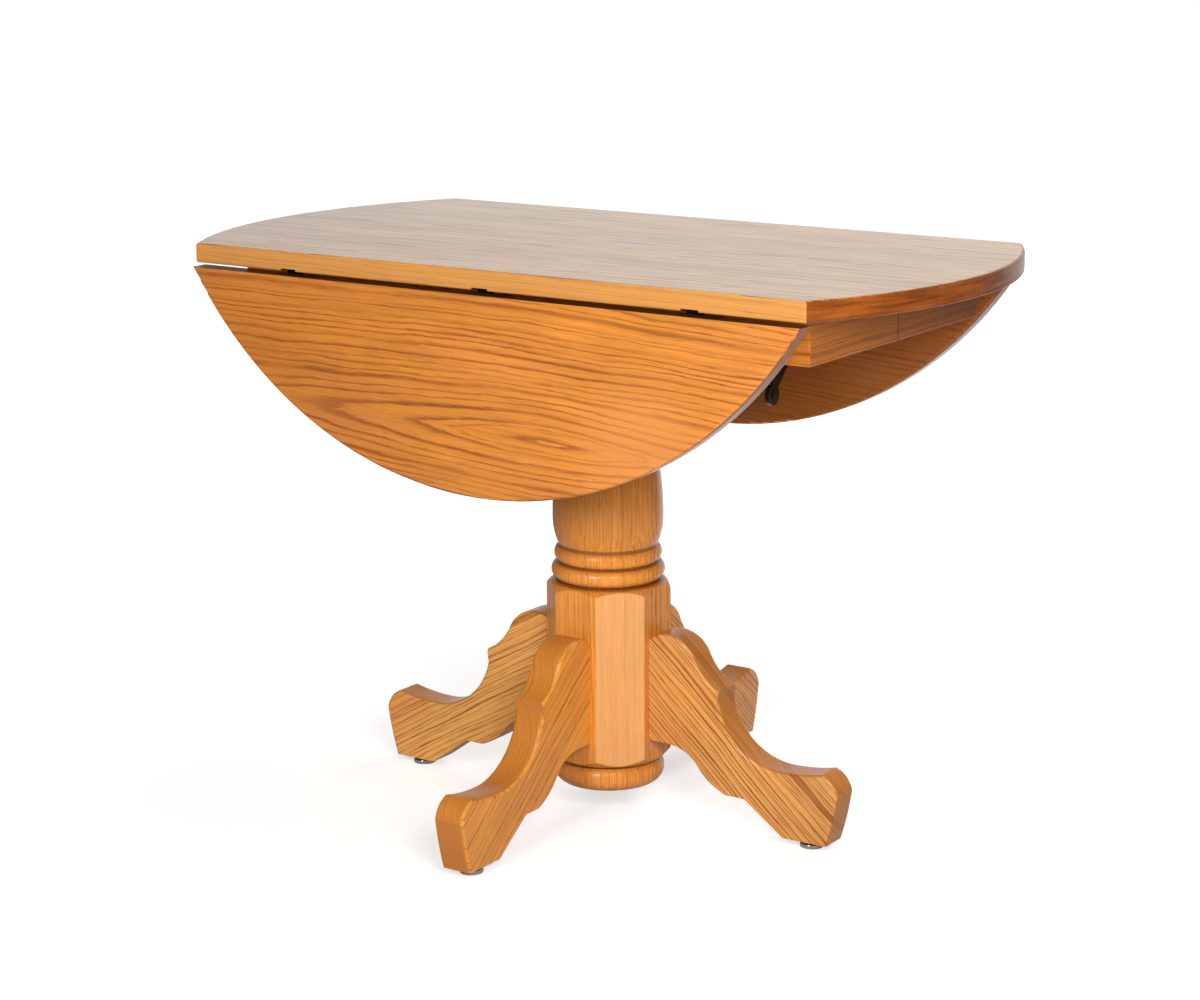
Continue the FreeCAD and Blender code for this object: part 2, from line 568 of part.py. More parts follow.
bolts, nuts, leg_dowels, glides, glide_collars, bolt_holes = [], [], [], [], [], []
for side, turn in LEGS:
    body = solid(f"leg_{side}_body", turn)
    shape = outline(body, f"leg_{side}_profile", "XZ_Plane",
                    [(f"octagon_half + {row[1]}", *row[2:]) for row in LEG_CORNERS])
    board = pad(body, shape, "leg_thickness", f"leg_{side}_board", symmetric=True)
    upper = rounded(body, board, "leg_arris", leg_edges("rounded"), f"leg_{side}_upper_edges")
    rounded(body, upper, "leg_ease", leg_edges("eased"), f"leg_{side}_lower_edges")
    leg_holes = []
    for level in ("low", "high"):
        height = f"bolt_{level}"
        inside = "bore_flats / 2"
        bolt = rod(f"bolt_{side}_{level}", "bolt_radius",
                   (f"{inside} - washer_height - nut_height - bolt_tail", "0", height),
                   f"octagon_half + bolt_reach - {inside} + washer_height + nut_height + bolt_tail", "+x", turn)
        washer = rod(f"washer_{side}_{level}", "washer_radius", (f"{inside} - washer_height", "0", height),
                     "washer_height", "+x", turn)
        hexagon = doc.addObject("Part::Prism", f"nut_{side}_{level}")
        hexagon.Polygon = 6
        bind(hexagon, Circumradius="nut_flats / 2 / cos(30)", Height="nut_height")
        place(hexagon, (f"{inside} - washer_height - nut_height", "0", height), turn, "+x")
        nut = joined(f"flange_nut_{side}_{level}", [hexagon, washer])
        nuts.append(without(f"nut_bored_{side}_{level}", nut, [bolt]))
        bolts.append(bolt)
        bolt_holes.append(bolt)
        leg_holes.append(bolt)
    peg = rod(f"leg_dowel_{side}", "leg_dowel_radius",
              ("octagon_half - leg_dowel_half", "0", "(bolt_low + bolt_high) / 2"),
              "2 * leg_dowel_half", "+x", turn)
    leg_dowels.append(peg)
    bolt_holes.append(peg)
    disc = rod(f"glide_disc_{side}", "glide_radius", ("glide_reach", "0", "0"), "glide_height", "+z", turn)
    rim = doc.addObject("Part::Fillet", f"glide_rim_{side}")
    doc.recompute()
    rim.Base = disc
    rim.Edges = [(number, value("glide_edge"), value("glide_edge")) for number in (1, 3)]
    stem = rod(f"glide_stem_{side}", "glide_stem", ("glide_reach", "0", "glide_edge"),
               "leg_foot_high + glide_stem_length - glide_edge", "+z", turn)
    glide = joined(f"glide_{side}", [rim, stem])
    glides.append(glide)
    sleeve = rod(f"glide_sleeve_{side}", "collar_radius", ("glide_reach", "0", "glide_height"),
                 "leg_foot_high - glide_height", "+z", turn)
    glide_collars.append(without(f"glide_collar_{side}", sleeve, [stem]))
    node(without(f"leg_{side}_bored", body, leg_holes + [peg, stem]), f"leg_{side}")

node(group("glide_set", glides), "foot_glides")
node(group("glide_collar_set", glide_collars), "glide_collars")
node(group("bolt_set", bolts), "leg_hanger_bolts")
node(group("nut_set", nuts), "leg_bolt_nuts")
node(group("leg_dowel_set", leg_dowels), "leg_dowels")

# Mounting plate: lag screwed to the head of the column, and carries the fixed slides and the pinion
plate = solid("plate_body")
long_side, short_side, cut = "plate_half_length", "plate_half_width", "plate_corner"
plate_sketch = outline(plate, "plate_outline", "XY_Plane", [
    (f"-{long_side} + {cut}", f"-{short_side}"),
    (f"{long_side} - {cut}", f"-{short_side}"),
    (long_side, f"-{short_side} + {cut}"),
    (long_side, f"{short_side} - {cut}"),
    (f"{long_side} - {cut}", short_side),
    (f"-{long_side} + {cut}", short_side),
    (f"-{long_side}", f"{short_side} - {cut}"),
    (f"-{long_side}", f"-{short_side} + {cut}"),
], "plate_bottom")
pad(plate, plate_sketch, "plate_thickness", "plate_board")
lags = [screw("lag", f"lag_{turn}", ("lag_offset", "lag_offset", "plate_top"), "-z", turn)
        for turn in (0, 90, 180, 270)]
node(group("lag_set", lags), "plate_lag_screws")
node(without("column_bored", column, bolt_holes + lags), "pedestal_column")
axle = joined("axle_bolt", [
    rod("axle_shank", "axle_radius - axle_play", ("0", "0", "plate_top - axle_depth"),
        "gear_top + gear_lift / 4 - plate_top + axle_depth"),
    rod("axle_head", "axle_head_radius", ("0", "0", "gear_top + gear_lift / 4"), "axle_head_height"),
])
node(axle, "pinion_axle")
plate_screws = [screw("post_screw", f"plate_screw_{side}_{turn}",
                      (f"{sign} * slide_offset", "plate_screw_out" if turn else "-plate_screw_out", "plate_bottom"),
                      "+z")
                for side, sign in SIDES for turn in (0, 1)]
node(group("plate_screw_set", plate_screws), "slide_centre_screws")
node(without("plate_bored", plate, lags + [axle] + plate_screws), "mounting_plate")

# Fixed slides: one bar on each side of the column, grooved on both cheeks
groove_half = "tongue_height / 2 + slide_play"
groove_level = "plate_top + tongue_level"
for side, sign in SIDES:
    middle = f"{sign} * slide_offset"
    bar = block(f"fixed_bar_{side}", (f"{middle} - slide_width / 2", f"{middle} + slide_width / 2"),
                ("-slide_reach", "slide_reach"), ("plate_top", "underside - slide_lift"))
    grooves = []
    for cheek in (-1, 1):
        face = f"{middle} + {cheek} * slide_width / 2"
        deep = f"{face} - {cheek} * (tongue_depth + slide_play)"
        low, high = (deep, face) if cheek > 0 else (face, deep)
        grooves.append(block(f"groove_{side}_{cheek}", (low, high), ("-slide_reach", "slide_reach"),
                             (f"{groove_level} - ({groove_half})", f"{groove_level} + {groove_half}")))
    node(without(f"fixed_slide_{side}", bar, grooves + plate_screws), f"slide_centre_{side}")

# Equaliser pinion: turns on the axle and makes the two halves open together
pinion = solid("pinion_body")
hub = pinion.newObject("PartDesign::AdditiveCylinder", "pinion_hub")
hub.AttachmentSupport = [(origin_plane(pinion, "XY_Plane"), "")]
hub.MapMode = "FlatFace"
bind(hub, Radius="root_radius", Height="gear_thickness")
hub.setExpression("AttachmentOffset.Base.z", cells("gear_bottom"))
tooth_sketch = outline(pinion, "pinion_tooth", "XY_Plane", [
    ("root_radius - gear_module / 2", "-tooth_root_share * gear_module + gear_play"),
    ("root_radius + gear_module / 4", "-tooth_root_share * gear_module + gear_play", "gear_module / 9"),
    ("tip_radius", "-tooth_tip_share * gear_module + gear_play"),
    ("tip_radius", "tooth_tip_share * gear_module - gear_play", "gear_module / 9"),
    ("root_radius + gear_module / 4", "tooth_root_share * gear_module - gear_play"),
    ("root_radius - gear_module / 2", "tooth_root_share * gear_module - gear_play"),
], "gear_bottom")
tooth = pad(pinion, tooth_sketch, "gear_thickness", "pinion_tooth_pad")
ring = pinion.newObject("PartDesign::PolarPattern", "pinion_teeth")
ring.Originals = [tooth]
ring.Axis = (tooth_sketch, ["N_Axis"])
bind(ring, Occurrences="gear_teeth")
pinion.Tip = ring
bore = rod("pinion_bore", "axle_radius", ("0", "0", "gear_bottom - gear_lift"), "gear_thickness + 2 * gear_lift")
node(without("pinion_bored", pinion, [bore]), "equaliser_pinion")

# Places of the hinges and stays along X
HINGE_PLACES = (("left", "-hinge_spacing"), ("middle", "0"), ("right", "hinge_spacing"))
STAY_PLACES = (("left", "-stay_spacing"), ("right", "stay_spacing"))


def hinge_pieces(half, turn):
    """Plates, pins and screws of the three hinges of one half: lists by kind."""
    made = {"top_plates": [], "leaf_plates": [], "pins": [], "top_screws": [], "leaf_screws": [], "slots": []}
    wide = "hinge_width / 2"
    inner = "hinge_middle / 2"
    for where, x in HINGE_PLACES:
        mark = f"{half}_{where}"
        pin = rod(f"pin_{mark}", "pin_radius", (f"{x} - {wide}", "-pin_reach", "pin_height"),
                  "hinge_width", "+x", turn)
        made["pins"].append(pin)
        drill = rod(f"pin_hole_{mark}", "pin_radius + pin_play",
                    (f"{x} - {wide} - hinge_side_play", "-pin_reach", "pin_height"),
                    "hinge_width + 2 * hinge_side_play", "+x", turn)
        plate_levels = ("underside", "underside + hinge_plate")
        pieces = [block(f"top_flap_{mark}", (f"{x} - {wide}", f"{x} + {wide}"),
                        ("-pin_reach + tab_clear", "-pin_reach + hinge_top_flap"), plate_levels, turn)]
        for low, high in ((f"{x} - {wide}", f"{x} - {inner}"), (f"{x} + {inner}", f"{x} + {wide}")):
            pieces.append(block(f"top_tab_{mark}", (low, high), ("-pin_reach", "-pin_reach + tab_clear"),
                                plate_levels, turn))
            pieces.append(rod(f"top_knuckle_{mark}", "knuckle_radius", (low, "-pin_reach", "pin_height"),
                              f"{wide} - {inner}", "+x", turn))
        top_screws = [screw("flat_screw", f"top_screw_{mark}_{sign}",
                            (f"{x} + {sign} * ({wide} - flat_screw_margin)",
                             "-pin_reach + hinge_top_flap - flat_screw_margin", "underside"), "+z", turn)
                      for sign in (-1, 1)]
        made["top_screws"] += top_screws
        made["top_plates"].append(without(f"top_plate_{mark}", joined(f"top_plate_blank_{mark}", pieces),
                                          [drill] + top_screws))
        slim = f"({inner} - hinge_side_play)"
        leaf_levels = ("-leaf_inner - hinge_plate", "-leaf_inner")
        pieces = [
            block(f"leaf_flap_{mark}", (f"{x} - {wide}", f"{x} + {wide}"), leaf_levels,
                  ("pin_height - hinge_leaf_flap", "leaf_edge - knuckle_room"), turn),
            block(f"leaf_tab_{mark}", (f"{x} - {slim}", f"{x} + {slim}"), leaf_levels,
                  ("leaf_edge - knuckle_room", "pin_height"), turn),
            rod(f"leaf_knuckle_{mark}", "knuckle_radius", (f"{x} - {slim}", "-pin_reach", "pin_height"),
                f"2 * {slim}", "+x", turn),
        ]
        leaf_screws = [screw("flat_screw", f"leaf_screw_{mark}_{row}_{sign}",
                             (f"{x} + {sign} * ({wide} - flat_screw_margin)", "-leaf_inner", level), "-y", turn)
                       for row, level in enumerate(("leaf_edge - 2 * flat_screw_margin",
                                                    "pin_height - hinge_leaf_flap + flat_screw_margin"))
                       for sign in (-1, 1)]
        made["leaf_screws"] += leaf_screws
        made["leaf_plates"].append(without(f"leaf_plate_{mark}", joined(f"leaf_plate_blank_{mark}", pieces),
                                           [drill] + leaf_screws))
        room = f"({wide} + knuckle_room)"
        made["slots"] += [
            block(f"knuckle_slot_{mark}", (f"{x} - {room}", f"{x} + {room}"),
                  ("-pin_reach - knuckle_clear", "-pin_reach + tab_clear"),
                  ("underside", "pin_height + knuckle_clear"), turn),
            block(f"tab_slot_{mark}", (f"{x} - {inner}", f"{x} + {inner}"), ("-top_half_width", "-pin_reach"),
                  ("underside", "underside + hinge_plate + hinge_side_play"), turn),
            block(f"flap_slot_{mark}", (f"{x} - {wide}", f"{x} + {wide}"),
                  ("-pin_reach", "-pin_reach + hinge_top_flap"), plate_levels, turn),
        ]
    return made


def stay_pieces(half, turn):
    """Brackets, arms and screws of the two folding stays of one leaf: lists by kind."""
    made = {"brackets": [], "leaf_brackets": [], "uppers": [], "lowers": [], "rail_screws": [], "leaf_screws": []}
    step = "(stay_metal + stay_side_gap)"
    run = "(knee_reach - stay_bracket_reach)"
    fall = "(stay_bracket_height - knee_height)"
    back_run = "(stay_leaf_out - knee_reach)"
    back_rise = "(stay_leaf_height - knee_height)"
    for side, x in STAY_PLACES:
        mark = f"{half}_{side}"
        # Ear, upper arm, lower arm and leaf ear lie side by side along X
        ear, upper, lower, leaf_ear = (f"{x} + {place_number} * {step}" for place_number in (-1, 0, 1, 2))
        pivot = ("-stay_bracket_reach", "stay_bracket_height")
        knee = ("-knee_reach", "knee_height")
        foot = ("-stay_leaf_out", "stay_leaf_height")

        def disc(name, at, spot, radius, length="stay_metal"):
            return rod(f"{name}_{mark}", radius, (at, *spot), length, "+x", turn)

        def arm(name, at, start, end, length, across, up):
            """Flat bar between two pivots, its long sides a half width off the line through them."""
            body = solid(f"{name}_{mark}", turn)
            side_y = f"stay_half_width * ({up}) / ({length})"
            side_z = f"stay_half_width * ({across}) / ({length})"
            bar = outline(body, f"{name}_outline_{mark}", "YZ_Plane", [
                (f"{start[0]} - {side_y}", f"{start[1]} + {side_z}"),
                (f"{start[0]} + {side_y}", f"{start[1]} - {side_z}"),
                (f"{end[0]} + {side_y}", f"{end[1]} - {side_z}"),
                (f"{end[0]} - {side_y}", f"{end[1]} + {side_z}"),
            ], at)
            pad(body, bar, "stay_metal", f"{name}_bar_{mark}")
            return body

        hole = "stay_rivet + stay_rivet_play"
        bar = arm("upper_arm", upper, pivot, knee, "stay_upper", f"-{run}", f"-{fall}")
        blank = joined(f"upper_blank_{mark}", [
            bar,
            disc("upper_end", upper, pivot, "stay_half_width"),
            disc("upper_knee", upper, knee, "stay_knee_radius"),
            disc("upper_cap", f"{upper} - stay_rivet_cap", knee, "stay_rivet_head", "stay_rivet_cap + stay_metal"),
        ])
        made["uppers"].append(without(f"upper_{mark}", blank, [disc("upper_hole", upper, pivot, hole)]))
        bar = arm("lower_arm", lower, foot, knee, "stay_lower", back_run, f"-{back_rise}")
        blank = joined(f"lower_blank_{mark}", [
            bar,
            disc("lower_end", lower, foot, "stay_half_width"),
            disc("lower_knee", lower, knee, "stay_knee_radius"),
            disc("lower_cap", lower, knee, "stay_rivet_head", "stay_metal + stay_rivet_cap"),
        ])
        made["lowers"].append(without(f"lower_{mark}", blank, [disc("lower_hole", lower, foot, hole)]))

        ear_half = "stay_flange_width / 2"
        rail_screws = [screw("flat_screw", f"rail_screw_{mark}_{sign}",
                             (f"{ear} + stay_metal / 2 + {sign} * (stay_flange_half - flat_screw_margin)",
                              "-stay_bracket_reach", "apron_bottom - stay_flange"), "+z", turn)
                       for sign in (-1, 1)]
        bracket = joined(f"bracket_blank_{mark}", [
            block(f"bracket_flange_{mark}",
                  (f"{ear} + stay_metal / 2 - stay_flange_half", f"{ear} + stay_metal / 2 + stay_flange_half"),
                  (f"-stay_bracket_reach - {ear_half}", f"-stay_bracket_reach + {ear_half}"),
                  ("apron_bottom - stay_flange", "apron_bottom"), turn),
            block(f"bracket_ear_{mark}", (ear, f"{ear} + stay_metal"),
                  ("-stay_bracket_reach - stay_half_width", "-stay_bracket_reach + stay_half_width"),
                  ("stay_bracket_height", "apron_bottom - stay_flange"), turn),
            disc("bracket_end", ear, pivot, "stay_half_width"),
            disc("bracket_rivet", ear, pivot, "stay_rivet", f"2 * {step} + stay_rivet_cap"),
            disc("bracket_cap", f"{upper} + {step}", pivot, "stay_rivet_head", "stay_rivet_cap"),
        ])
        made["brackets"].append(without(f"bracket_{mark}", bracket, rail_screws))
        made["rail_screws"] += rail_screws

        leaf_screws = [screw("flat_screw", f"stay_leaf_screw_{mark}_{sign}",
                             (f"{leaf_ear} + stay_metal / 2",
                              "-leaf_inner + stay_flange",
                              f"stay_leaf_height + {sign} * (stay_flange_half - flat_screw_margin)"), "-y", turn)
                       for sign in (-1, 1)]
        bracket = joined(f"leaf_bracket_blank_{mark}", [
            block(f"leaf_flange_{mark}",
                  (f"{leaf_ear} + stay_metal / 2 - {ear_half}", f"{leaf_ear} + stay_metal / 2 + {ear_half}"),
                  ("-leaf_inner", "-leaf_inner + stay_flange"),
                  ("stay_leaf_height - stay_flange_half", "stay_leaf_height + stay_flange_half"), turn),
            block(f"leaf_ear_{mark}", (leaf_ear, f"{leaf_ear} + stay_metal"),
                  ("-leaf_inner + stay_flange", "-stay_leaf_out"),
                  ("stay_leaf_height - stay_half_width", "stay_leaf_height + stay_half_width"), turn),
            disc("leaf_ear_end", leaf_ear, foot, "stay_half_width"),
            disc("leaf_rivet", f"{lower} - stay_side_gap - stay_rivet_cap", foot, "stay_rivet",
                 f"{step} + stay_side_gap + stay_rivet_cap"),
            disc("leaf_cap", f"{lower} - stay_side_gap - stay_rivet_cap", foot, "stay_rivet_head", "stay_rivet_cap"),
        ])
        made["leaf_brackets"].append(without(f"leaf_bracket_{mark}", bracket, leaf_screws))
        made["leaf_screws"] += leaf_screws
    return made


# Distance from the middle of the table to the chord across one round end of a half
half_chord = "sqrt(((top_corner + seam_end) / 2) ^ 2 + ((top_half_width + seam_half) / 2) ^ 2)"


def half_top(half, turn, cutters):
    """Half of the fixed top: straight seam and hinge edge, round ends."""
    body = solid(f"top_{half}_body", turn)
    shape = outline(body, f"top_{half}_outline", "XY_Plane", [
        ("-top_corner", "-top_half_width"),
        ("top_corner", "-top_half_width", f"top_radius - {half_chord}"),
        ("seam_end", "-seam_half"),
        ("-seam_end", "-seam_half", f"top_radius - {half_chord}"),
    ], "underside")
    board = pad(body, shape, "top_thickness", f"top_{half}_board")
    hinge_face, seam = -value("top_half_width"), -value("seam_half")

    def rim_at(level):
        return lambda edge: (all_at(edge, "z", level) and not all_at(edge, "y", hinge_face)
                             and not all_at(edge, "y", seam))
    upper = rounded(body, board, "edge_round", rim_at(value("table_height")), f"top_{half}_round")
    lower = rounded(body, upper, "edge_ease", rim_at(value("underside")), f"top_{half}_ease")
    rounded(body, lower, "hinge_arris", lambda edge: all_at(edge, "y", hinge_face), f"top_{half}_arris")
    return node(without(f"top_{half}_cut", body, cutters), f"top_{half}")


def leaf_board(half, turn, cutters):
    """Hanging leaf: a segment of a round board with rounded rims, turned down about its hinge pin.
    One side is swept, and the other is the same sweep turned half round about the middle of the board."""
    rim_rise = "edge_round * (1 - cos(45))"
    sides = []
    for side, side_turn, shift in (("left", turn, "0"), ("right", turn + 180, "leaf_inner + leaf_outer")):
        body = solid(f"leaf_{half}_{side}_body")
        rim = outline(body, f"leaf_{half}_{side}_rim", "YZ_Plane", [
            ("-leaf_outer", "leaf_centre"),
            ("-leaf_outer", "leaf_low + edge_round", rim_rise),
            ("-leaf_outer + edge_round", "leaf_low"),
            ("-leaf_inner - edge_round", "leaf_low", rim_rise),
            ("-leaf_inner", "leaf_low + edge_round"),
            ("-leaf_inner", "leaf_centre"),
        ])
        sweep = body.newObject("PartDesign::Revolution", f"leaf_{half}_{side}_sweep")
        sweep.Profile = rim
        sweep.ReferenceAxis = (rim, ["Edge6"])
        sweep.Reversed = True
        sweep.Angle = 90
        place(body, ("0", shift, "0"), side_turn)
        sides.append(body)
    blank = joined(f"leaf_{half}_blank", sides)
    above = block(f"leaf_{half}_above", ("-2 * top_radius", "2 * top_radius"), ("-2 * leaf_outer", "0"),
                  ("leaf_edge", "leaf_centre + 2 * top_radius"), turn)
    segment = without(f"leaf_{half}_segment", blank, [above])
    board = without(f"leaf_{half}_cut", segment, cutters)
    # The rim stays in two lengths, one for each side
    for stage in (blank, segment, board):
        stage.Refine = False
    return node(board, f"leaf_{half}")


def apron_board(name, turn, corners, outer_edge, cutters=()):
    """Upright apron board with its lower outer edge eased."""
    body = solid(f"{name}_body", turn)
    board = pad(body, outline(body, f"{name}_outline", "XY_Plane", corners, "apron_bottom"),
                "apron_height", f"{name}_board")
    bottom = value("apron_bottom")
    rounded(body, board, "apron_ease", lambda edge: all_at(edge, "z", bottom) and outer_edge(edge), f"{name}_ease")
    return node(without(f"{name}_cut", body, list(cutters)) if cutters else body, name)


def moving_slide(name, middle, turn, fasteners):
    """Slide bar fixed under one half: a tongue runs in the fixed slide, and the part that passes under
    the other half stands clear of it."""
    low = f"{middle} + slide_width / 2 + slide_play"
    high = f"{low} + slide_width"
    bar = joined(f"{name}_blank", [
        block(f"{name}_bar", (low, high), ("-slide_reach", "slide_reach"),
              ("plate_top + slide_lift", "underside - slide_lift"), turn),
        block(f"{name}_seat", (low, high), ("-slide_reach", "-slide_lift"),
              ("underside - slide_lift", "underside"), turn),
        block(f"{name}_tongue", (f"{low} - slide_play - tongue_depth", low), ("-slide_reach", "slide_reach"),
              (f"{groove_level} - tongue_height / 2", f"{groove_level} + tongue_height / 2"), turn),
    ])
    return node(without(f"{name}_bored", bar, fasteners), name)


def post_screws(name, spots, bottom, turn):
    """Screws sunk up through a bar into the top, and the counterbores below them."""
    start = "underside + post_screw_bite - post_screw_length"
    screws = [screw("post_screw", f"{name}_{number}", (x, y, start), "+z", turn)
              for number, (x, y) in enumerate(spots)]
    bores = [rod(f"{name}_bore_{number}", "post_screw_head", (x, y, bottom), f"{start} - ({bottom})", "+z", turn)
             for number, (x, y) in enumerate(spots)]
    return screws, bores


def rack_bar(half, turn, cutters):
    """Toothed bar hung from one half, in mesh with the pinion."""
    body = solid(f"rack_{half}_body", turn)
    back = "rack_root + rack_back"
    end = "(rack_teeth - 2) * tooth_pitch"
    bar = outline(body, f"rack_{half}_outline", "XY_Plane", [
        ("rack_root", "-slide_reach"),
        (back, "-slide_reach"),
        (back, end),
        ("rack_root", end),
    ], "gear_bottom")
    pad(body, bar, "gear_thickness", f"rack_{half}_bar")
    middle = "-1.5 * tooth_pitch"
    half_root = "tooth_pitch / 4 + 1.25 * rack_slope - gear_play"
    half_tip = "tooth_pitch / 4 - rack_slope - gear_play"
    tip = "pitch_radius - gear_module"
    inside = "rack_root + rack_back / 2"
    shape = outline(body, f"rack_{half}_tooth", "XY_Plane", [
        (tip, f"{middle} - ({half_tip})"),
        ("rack_root", f"{middle} - ({half_root})"),
        (inside, f"{middle} - ({half_root})"),
        (inside, f"{middle} + ({half_root})"),
        ("rack_root", f"{middle} + ({half_root})"),
        (tip, f"{middle} + ({half_tip})"),
    ], "gear_bottom")
    tooth = pad(body, shape, "gear_thickness", f"rack_{half}_tooth_pad")
    row = body.newObject("PartDesign::LinearPattern", f"rack_{half}_teeth")
    row.Originals = [tooth]
    row.Direction = (shape, ["V_Axis"])
    bind(row, Length="(rack_teeth - 1) * tooth_pitch", Occurrences="rack_teeth")
    body.Tip = row
    hanger = block(f"rack_{half}_head", ("rack_root", "rack_root + rack_head_width"),
                   ("-slide_reach", "-slide_reach + rack_head_length"), ("gear_bottom", "underside"), turn)
    return node(without(f"rack_{half}_bored", joined(f"rack_{half}_blank", [body, hanger]), cutters), f"rack_{half}")


# Both halves of the top with their leaves, each built at the front and turned into place
dowel_level = "underside + top_thickness / 2"
DOWEL_PLACES = ("-dowel_spacing", "0", "dowel_spacing")
alignment_dowels = [rod(f"seam_dowel_{number}", "dowel_radius", (x, "-seam_half - dowel_set", dowel_level),
                        "dowel_set + seam_gap + dowel_reach", "+y") for number, x in enumerate(DOWEL_PLACES)]
node(group("seam_dowel_set", alignment_dowels), "alignment_dowels")
dowel_sockets = [rod(f"seam_socket_{number}", "dowel_radius + dowel_play",
                     (x, "-seam_half - dowel_reach - slide_lift", dowel_level),
                     "dowel_reach + slide_lift", "+y", 180) for number, x in enumerate(DOWEL_PLACES)]
SEAM_HOLES = {"front": alignment_dowels, "back": dowel_sockets}

for half, turn in HALVES:
    hinges = hinge_pieces(half, turn)
    stays = stay_pieces(half, turn)
    top_screws = []
    for side, sign in SIDES:
        middle = f"{sign} * slide_offset"
        centre = f"{middle} + slide_step"
        spots = [(centre, "-slide_reach + post_screw_from_end"), (centre, "-post_screw_from_end")]
        screws, bores = post_screws(f"slide_screw_{half}_{side}", spots, "plate_top + slide_lift", turn)
        moving_slide(f"slide_{half}_{side}", middle, turn, screws + bores)
        top_screws += screws
    rack_spots = [("rack_root + rack_head_width / 2", f"-slide_reach + rack_head_length * {share}")
                  for share in (0.25, 0.75)]
    screws, bores = post_screws(f"rack_screw_{half}", rack_spots, "gear_bottom", turn)
    rack_bar(half, turn, screws + bores)
    top_screws += screws
    node(group(f"top_screw_set_{half}", top_screws), f"top_screws_{half}")

    half_top(half, turn, hinges["slots"] + hinges["top_screws"] + top_screws + SEAM_HOLES[half])
    face = -value("rail_face")
    apron_board(f"apron_rail_{half}", turn, [
        ("-end_face", "-rail_face"),
        ("end_face", "-rail_face"),
        ("end_inner", "-rail_inner"),
        ("-end_inner", "-rail_inner"),
    ], lambda edge: all_at(edge, "y", face), stays["rail_screws"])
    blocks = []
    for side, sign in SIDES:
        corners = [
            (f"{sign} * end_face", "-rail_face"),
            (f"{sign} * end_face", "-seam_half"),
            (f"{sign} * end_inner", "-seam_half"),
            (f"{sign} * end_inner", "-rail_inner"),
        ]
        end = sign * value("end_face")
        apron_board(f"apron_end_{half}_{side}", turn, corners if sign > 0 else corners[::-1],
                    lambda edge: all_at(edge, "x", end))
        body = solid(f"corner_block_{half}_{side}", turn)
        corners = [
            (f"{sign} * end_inner", "-rail_inner"),
            (f"{sign} * end_inner", "-rail_inner + block_leg"),
            (f"{sign} * (end_inner - block_leg)", "-rail_inner"),
        ]
        shape = outline(body, f"corner_block_outline_{half}_{side}", "XY_Plane",
                        corners if sign > 0 else corners[::-1], "underside - block_height")
        pad(body, shape, "block_height", f"corner_block_pad_{half}_{side}")
        blocks.append(body)
    node(group(f"corner_block_set_{half}", blocks), f"corner_blocks_{half}")

    node(group(f"hinge_plate_set_{half}", hinges["top_plates"]), f"hinge_plates_{half}")
    node(group(f"hinge_pin_set_{half}", hinges["pins"]), f"hinge_pins_{half}")
    node(group(f"stay_bracket_set_{half}", stays["brackets"]), f"stay_brackets_{half}")
    node(group(f"hinge_screw_set_{half}", hinges["top_screws"] + stays["rail_screws"]), f"hinge_screws_{half}")
    leaf_board(half, turn, hinges["leaf_plates"] + hinges["leaf_screws"] + stays["leaf_screws"])
    node(group(f"leaf_hinge_set_{half}", hinges["leaf_plates"]), f"leaf_hinge_plates_{half}")
    node(group(f"leaf_bracket_set_{half}", stays["leaf_brackets"]), f"leaf_stay_brackets_{half}")
    node(group(f"leaf_screw_set_{half}", hinges["leaf_screws"] + stays["leaf_screws"]), f"leaf_screws_{half}")
    node(group(f"stay_upper_set_{half}", stays["uppers"]), f"stay_upper_arms_{half}")
    node(group(f"stay_lower_set_{half}", stays["lowers"]), f"stay_lower_arms_{half}")

doc.recompute()
for thing in doc.Objects:
    if "Invalid" in thing.State or "Error" in thing.State:
        raise RuntimeError(f"{thing.Label} failed: {thing.State}")
for thing in sub_parts:
    if thing.Shape.isNull() or not thing.Shape.isValid() or not thing.Shape.Solids:
        raise RuntimeError(f"{thing.Label} has no sound shape")
os.makedirs("parts", exist_ok=True)
for thing in sub_parts:
    thing.Shape.exportStep(f"parts/{thing.Label}.step")
print(len(sub_parts), "sub-parts")
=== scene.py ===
"""Round oak drop-leaf pedestal table: materials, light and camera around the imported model."""
import math

import bpy
from mathutils import Matrix, Vector


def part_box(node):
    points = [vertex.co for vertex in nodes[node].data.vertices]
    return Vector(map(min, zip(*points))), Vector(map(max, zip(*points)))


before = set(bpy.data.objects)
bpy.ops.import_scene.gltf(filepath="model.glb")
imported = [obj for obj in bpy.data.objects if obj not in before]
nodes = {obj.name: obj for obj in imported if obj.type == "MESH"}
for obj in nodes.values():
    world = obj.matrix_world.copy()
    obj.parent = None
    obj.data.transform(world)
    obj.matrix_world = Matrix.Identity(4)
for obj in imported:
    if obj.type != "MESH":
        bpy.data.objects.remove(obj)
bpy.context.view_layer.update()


# Column: one turned and planed oak post, eight flats below and a vase turning above, glued up from
# upright staves. Stained golden oak under a sprayed lacquer that has been rubbed to a soft gloss.
MM = 0.001


def linear(code):
    """sRGB hex to the linear colour that a shader takes: each channel through the sRGB curve."""
    parts = [int(code[place:place + 2], 16) / 255 for place in (1, 3, 5)]
    return [part / 12.92 if part <= 0.04045 else ((part + 0.055) / 1.055) ** 2.4 for part in parts] + [1.0]


def live_output(node):
    """A node's first output that is in use."""
    return [socket for socket in node.outputs if socket.enabled][0]


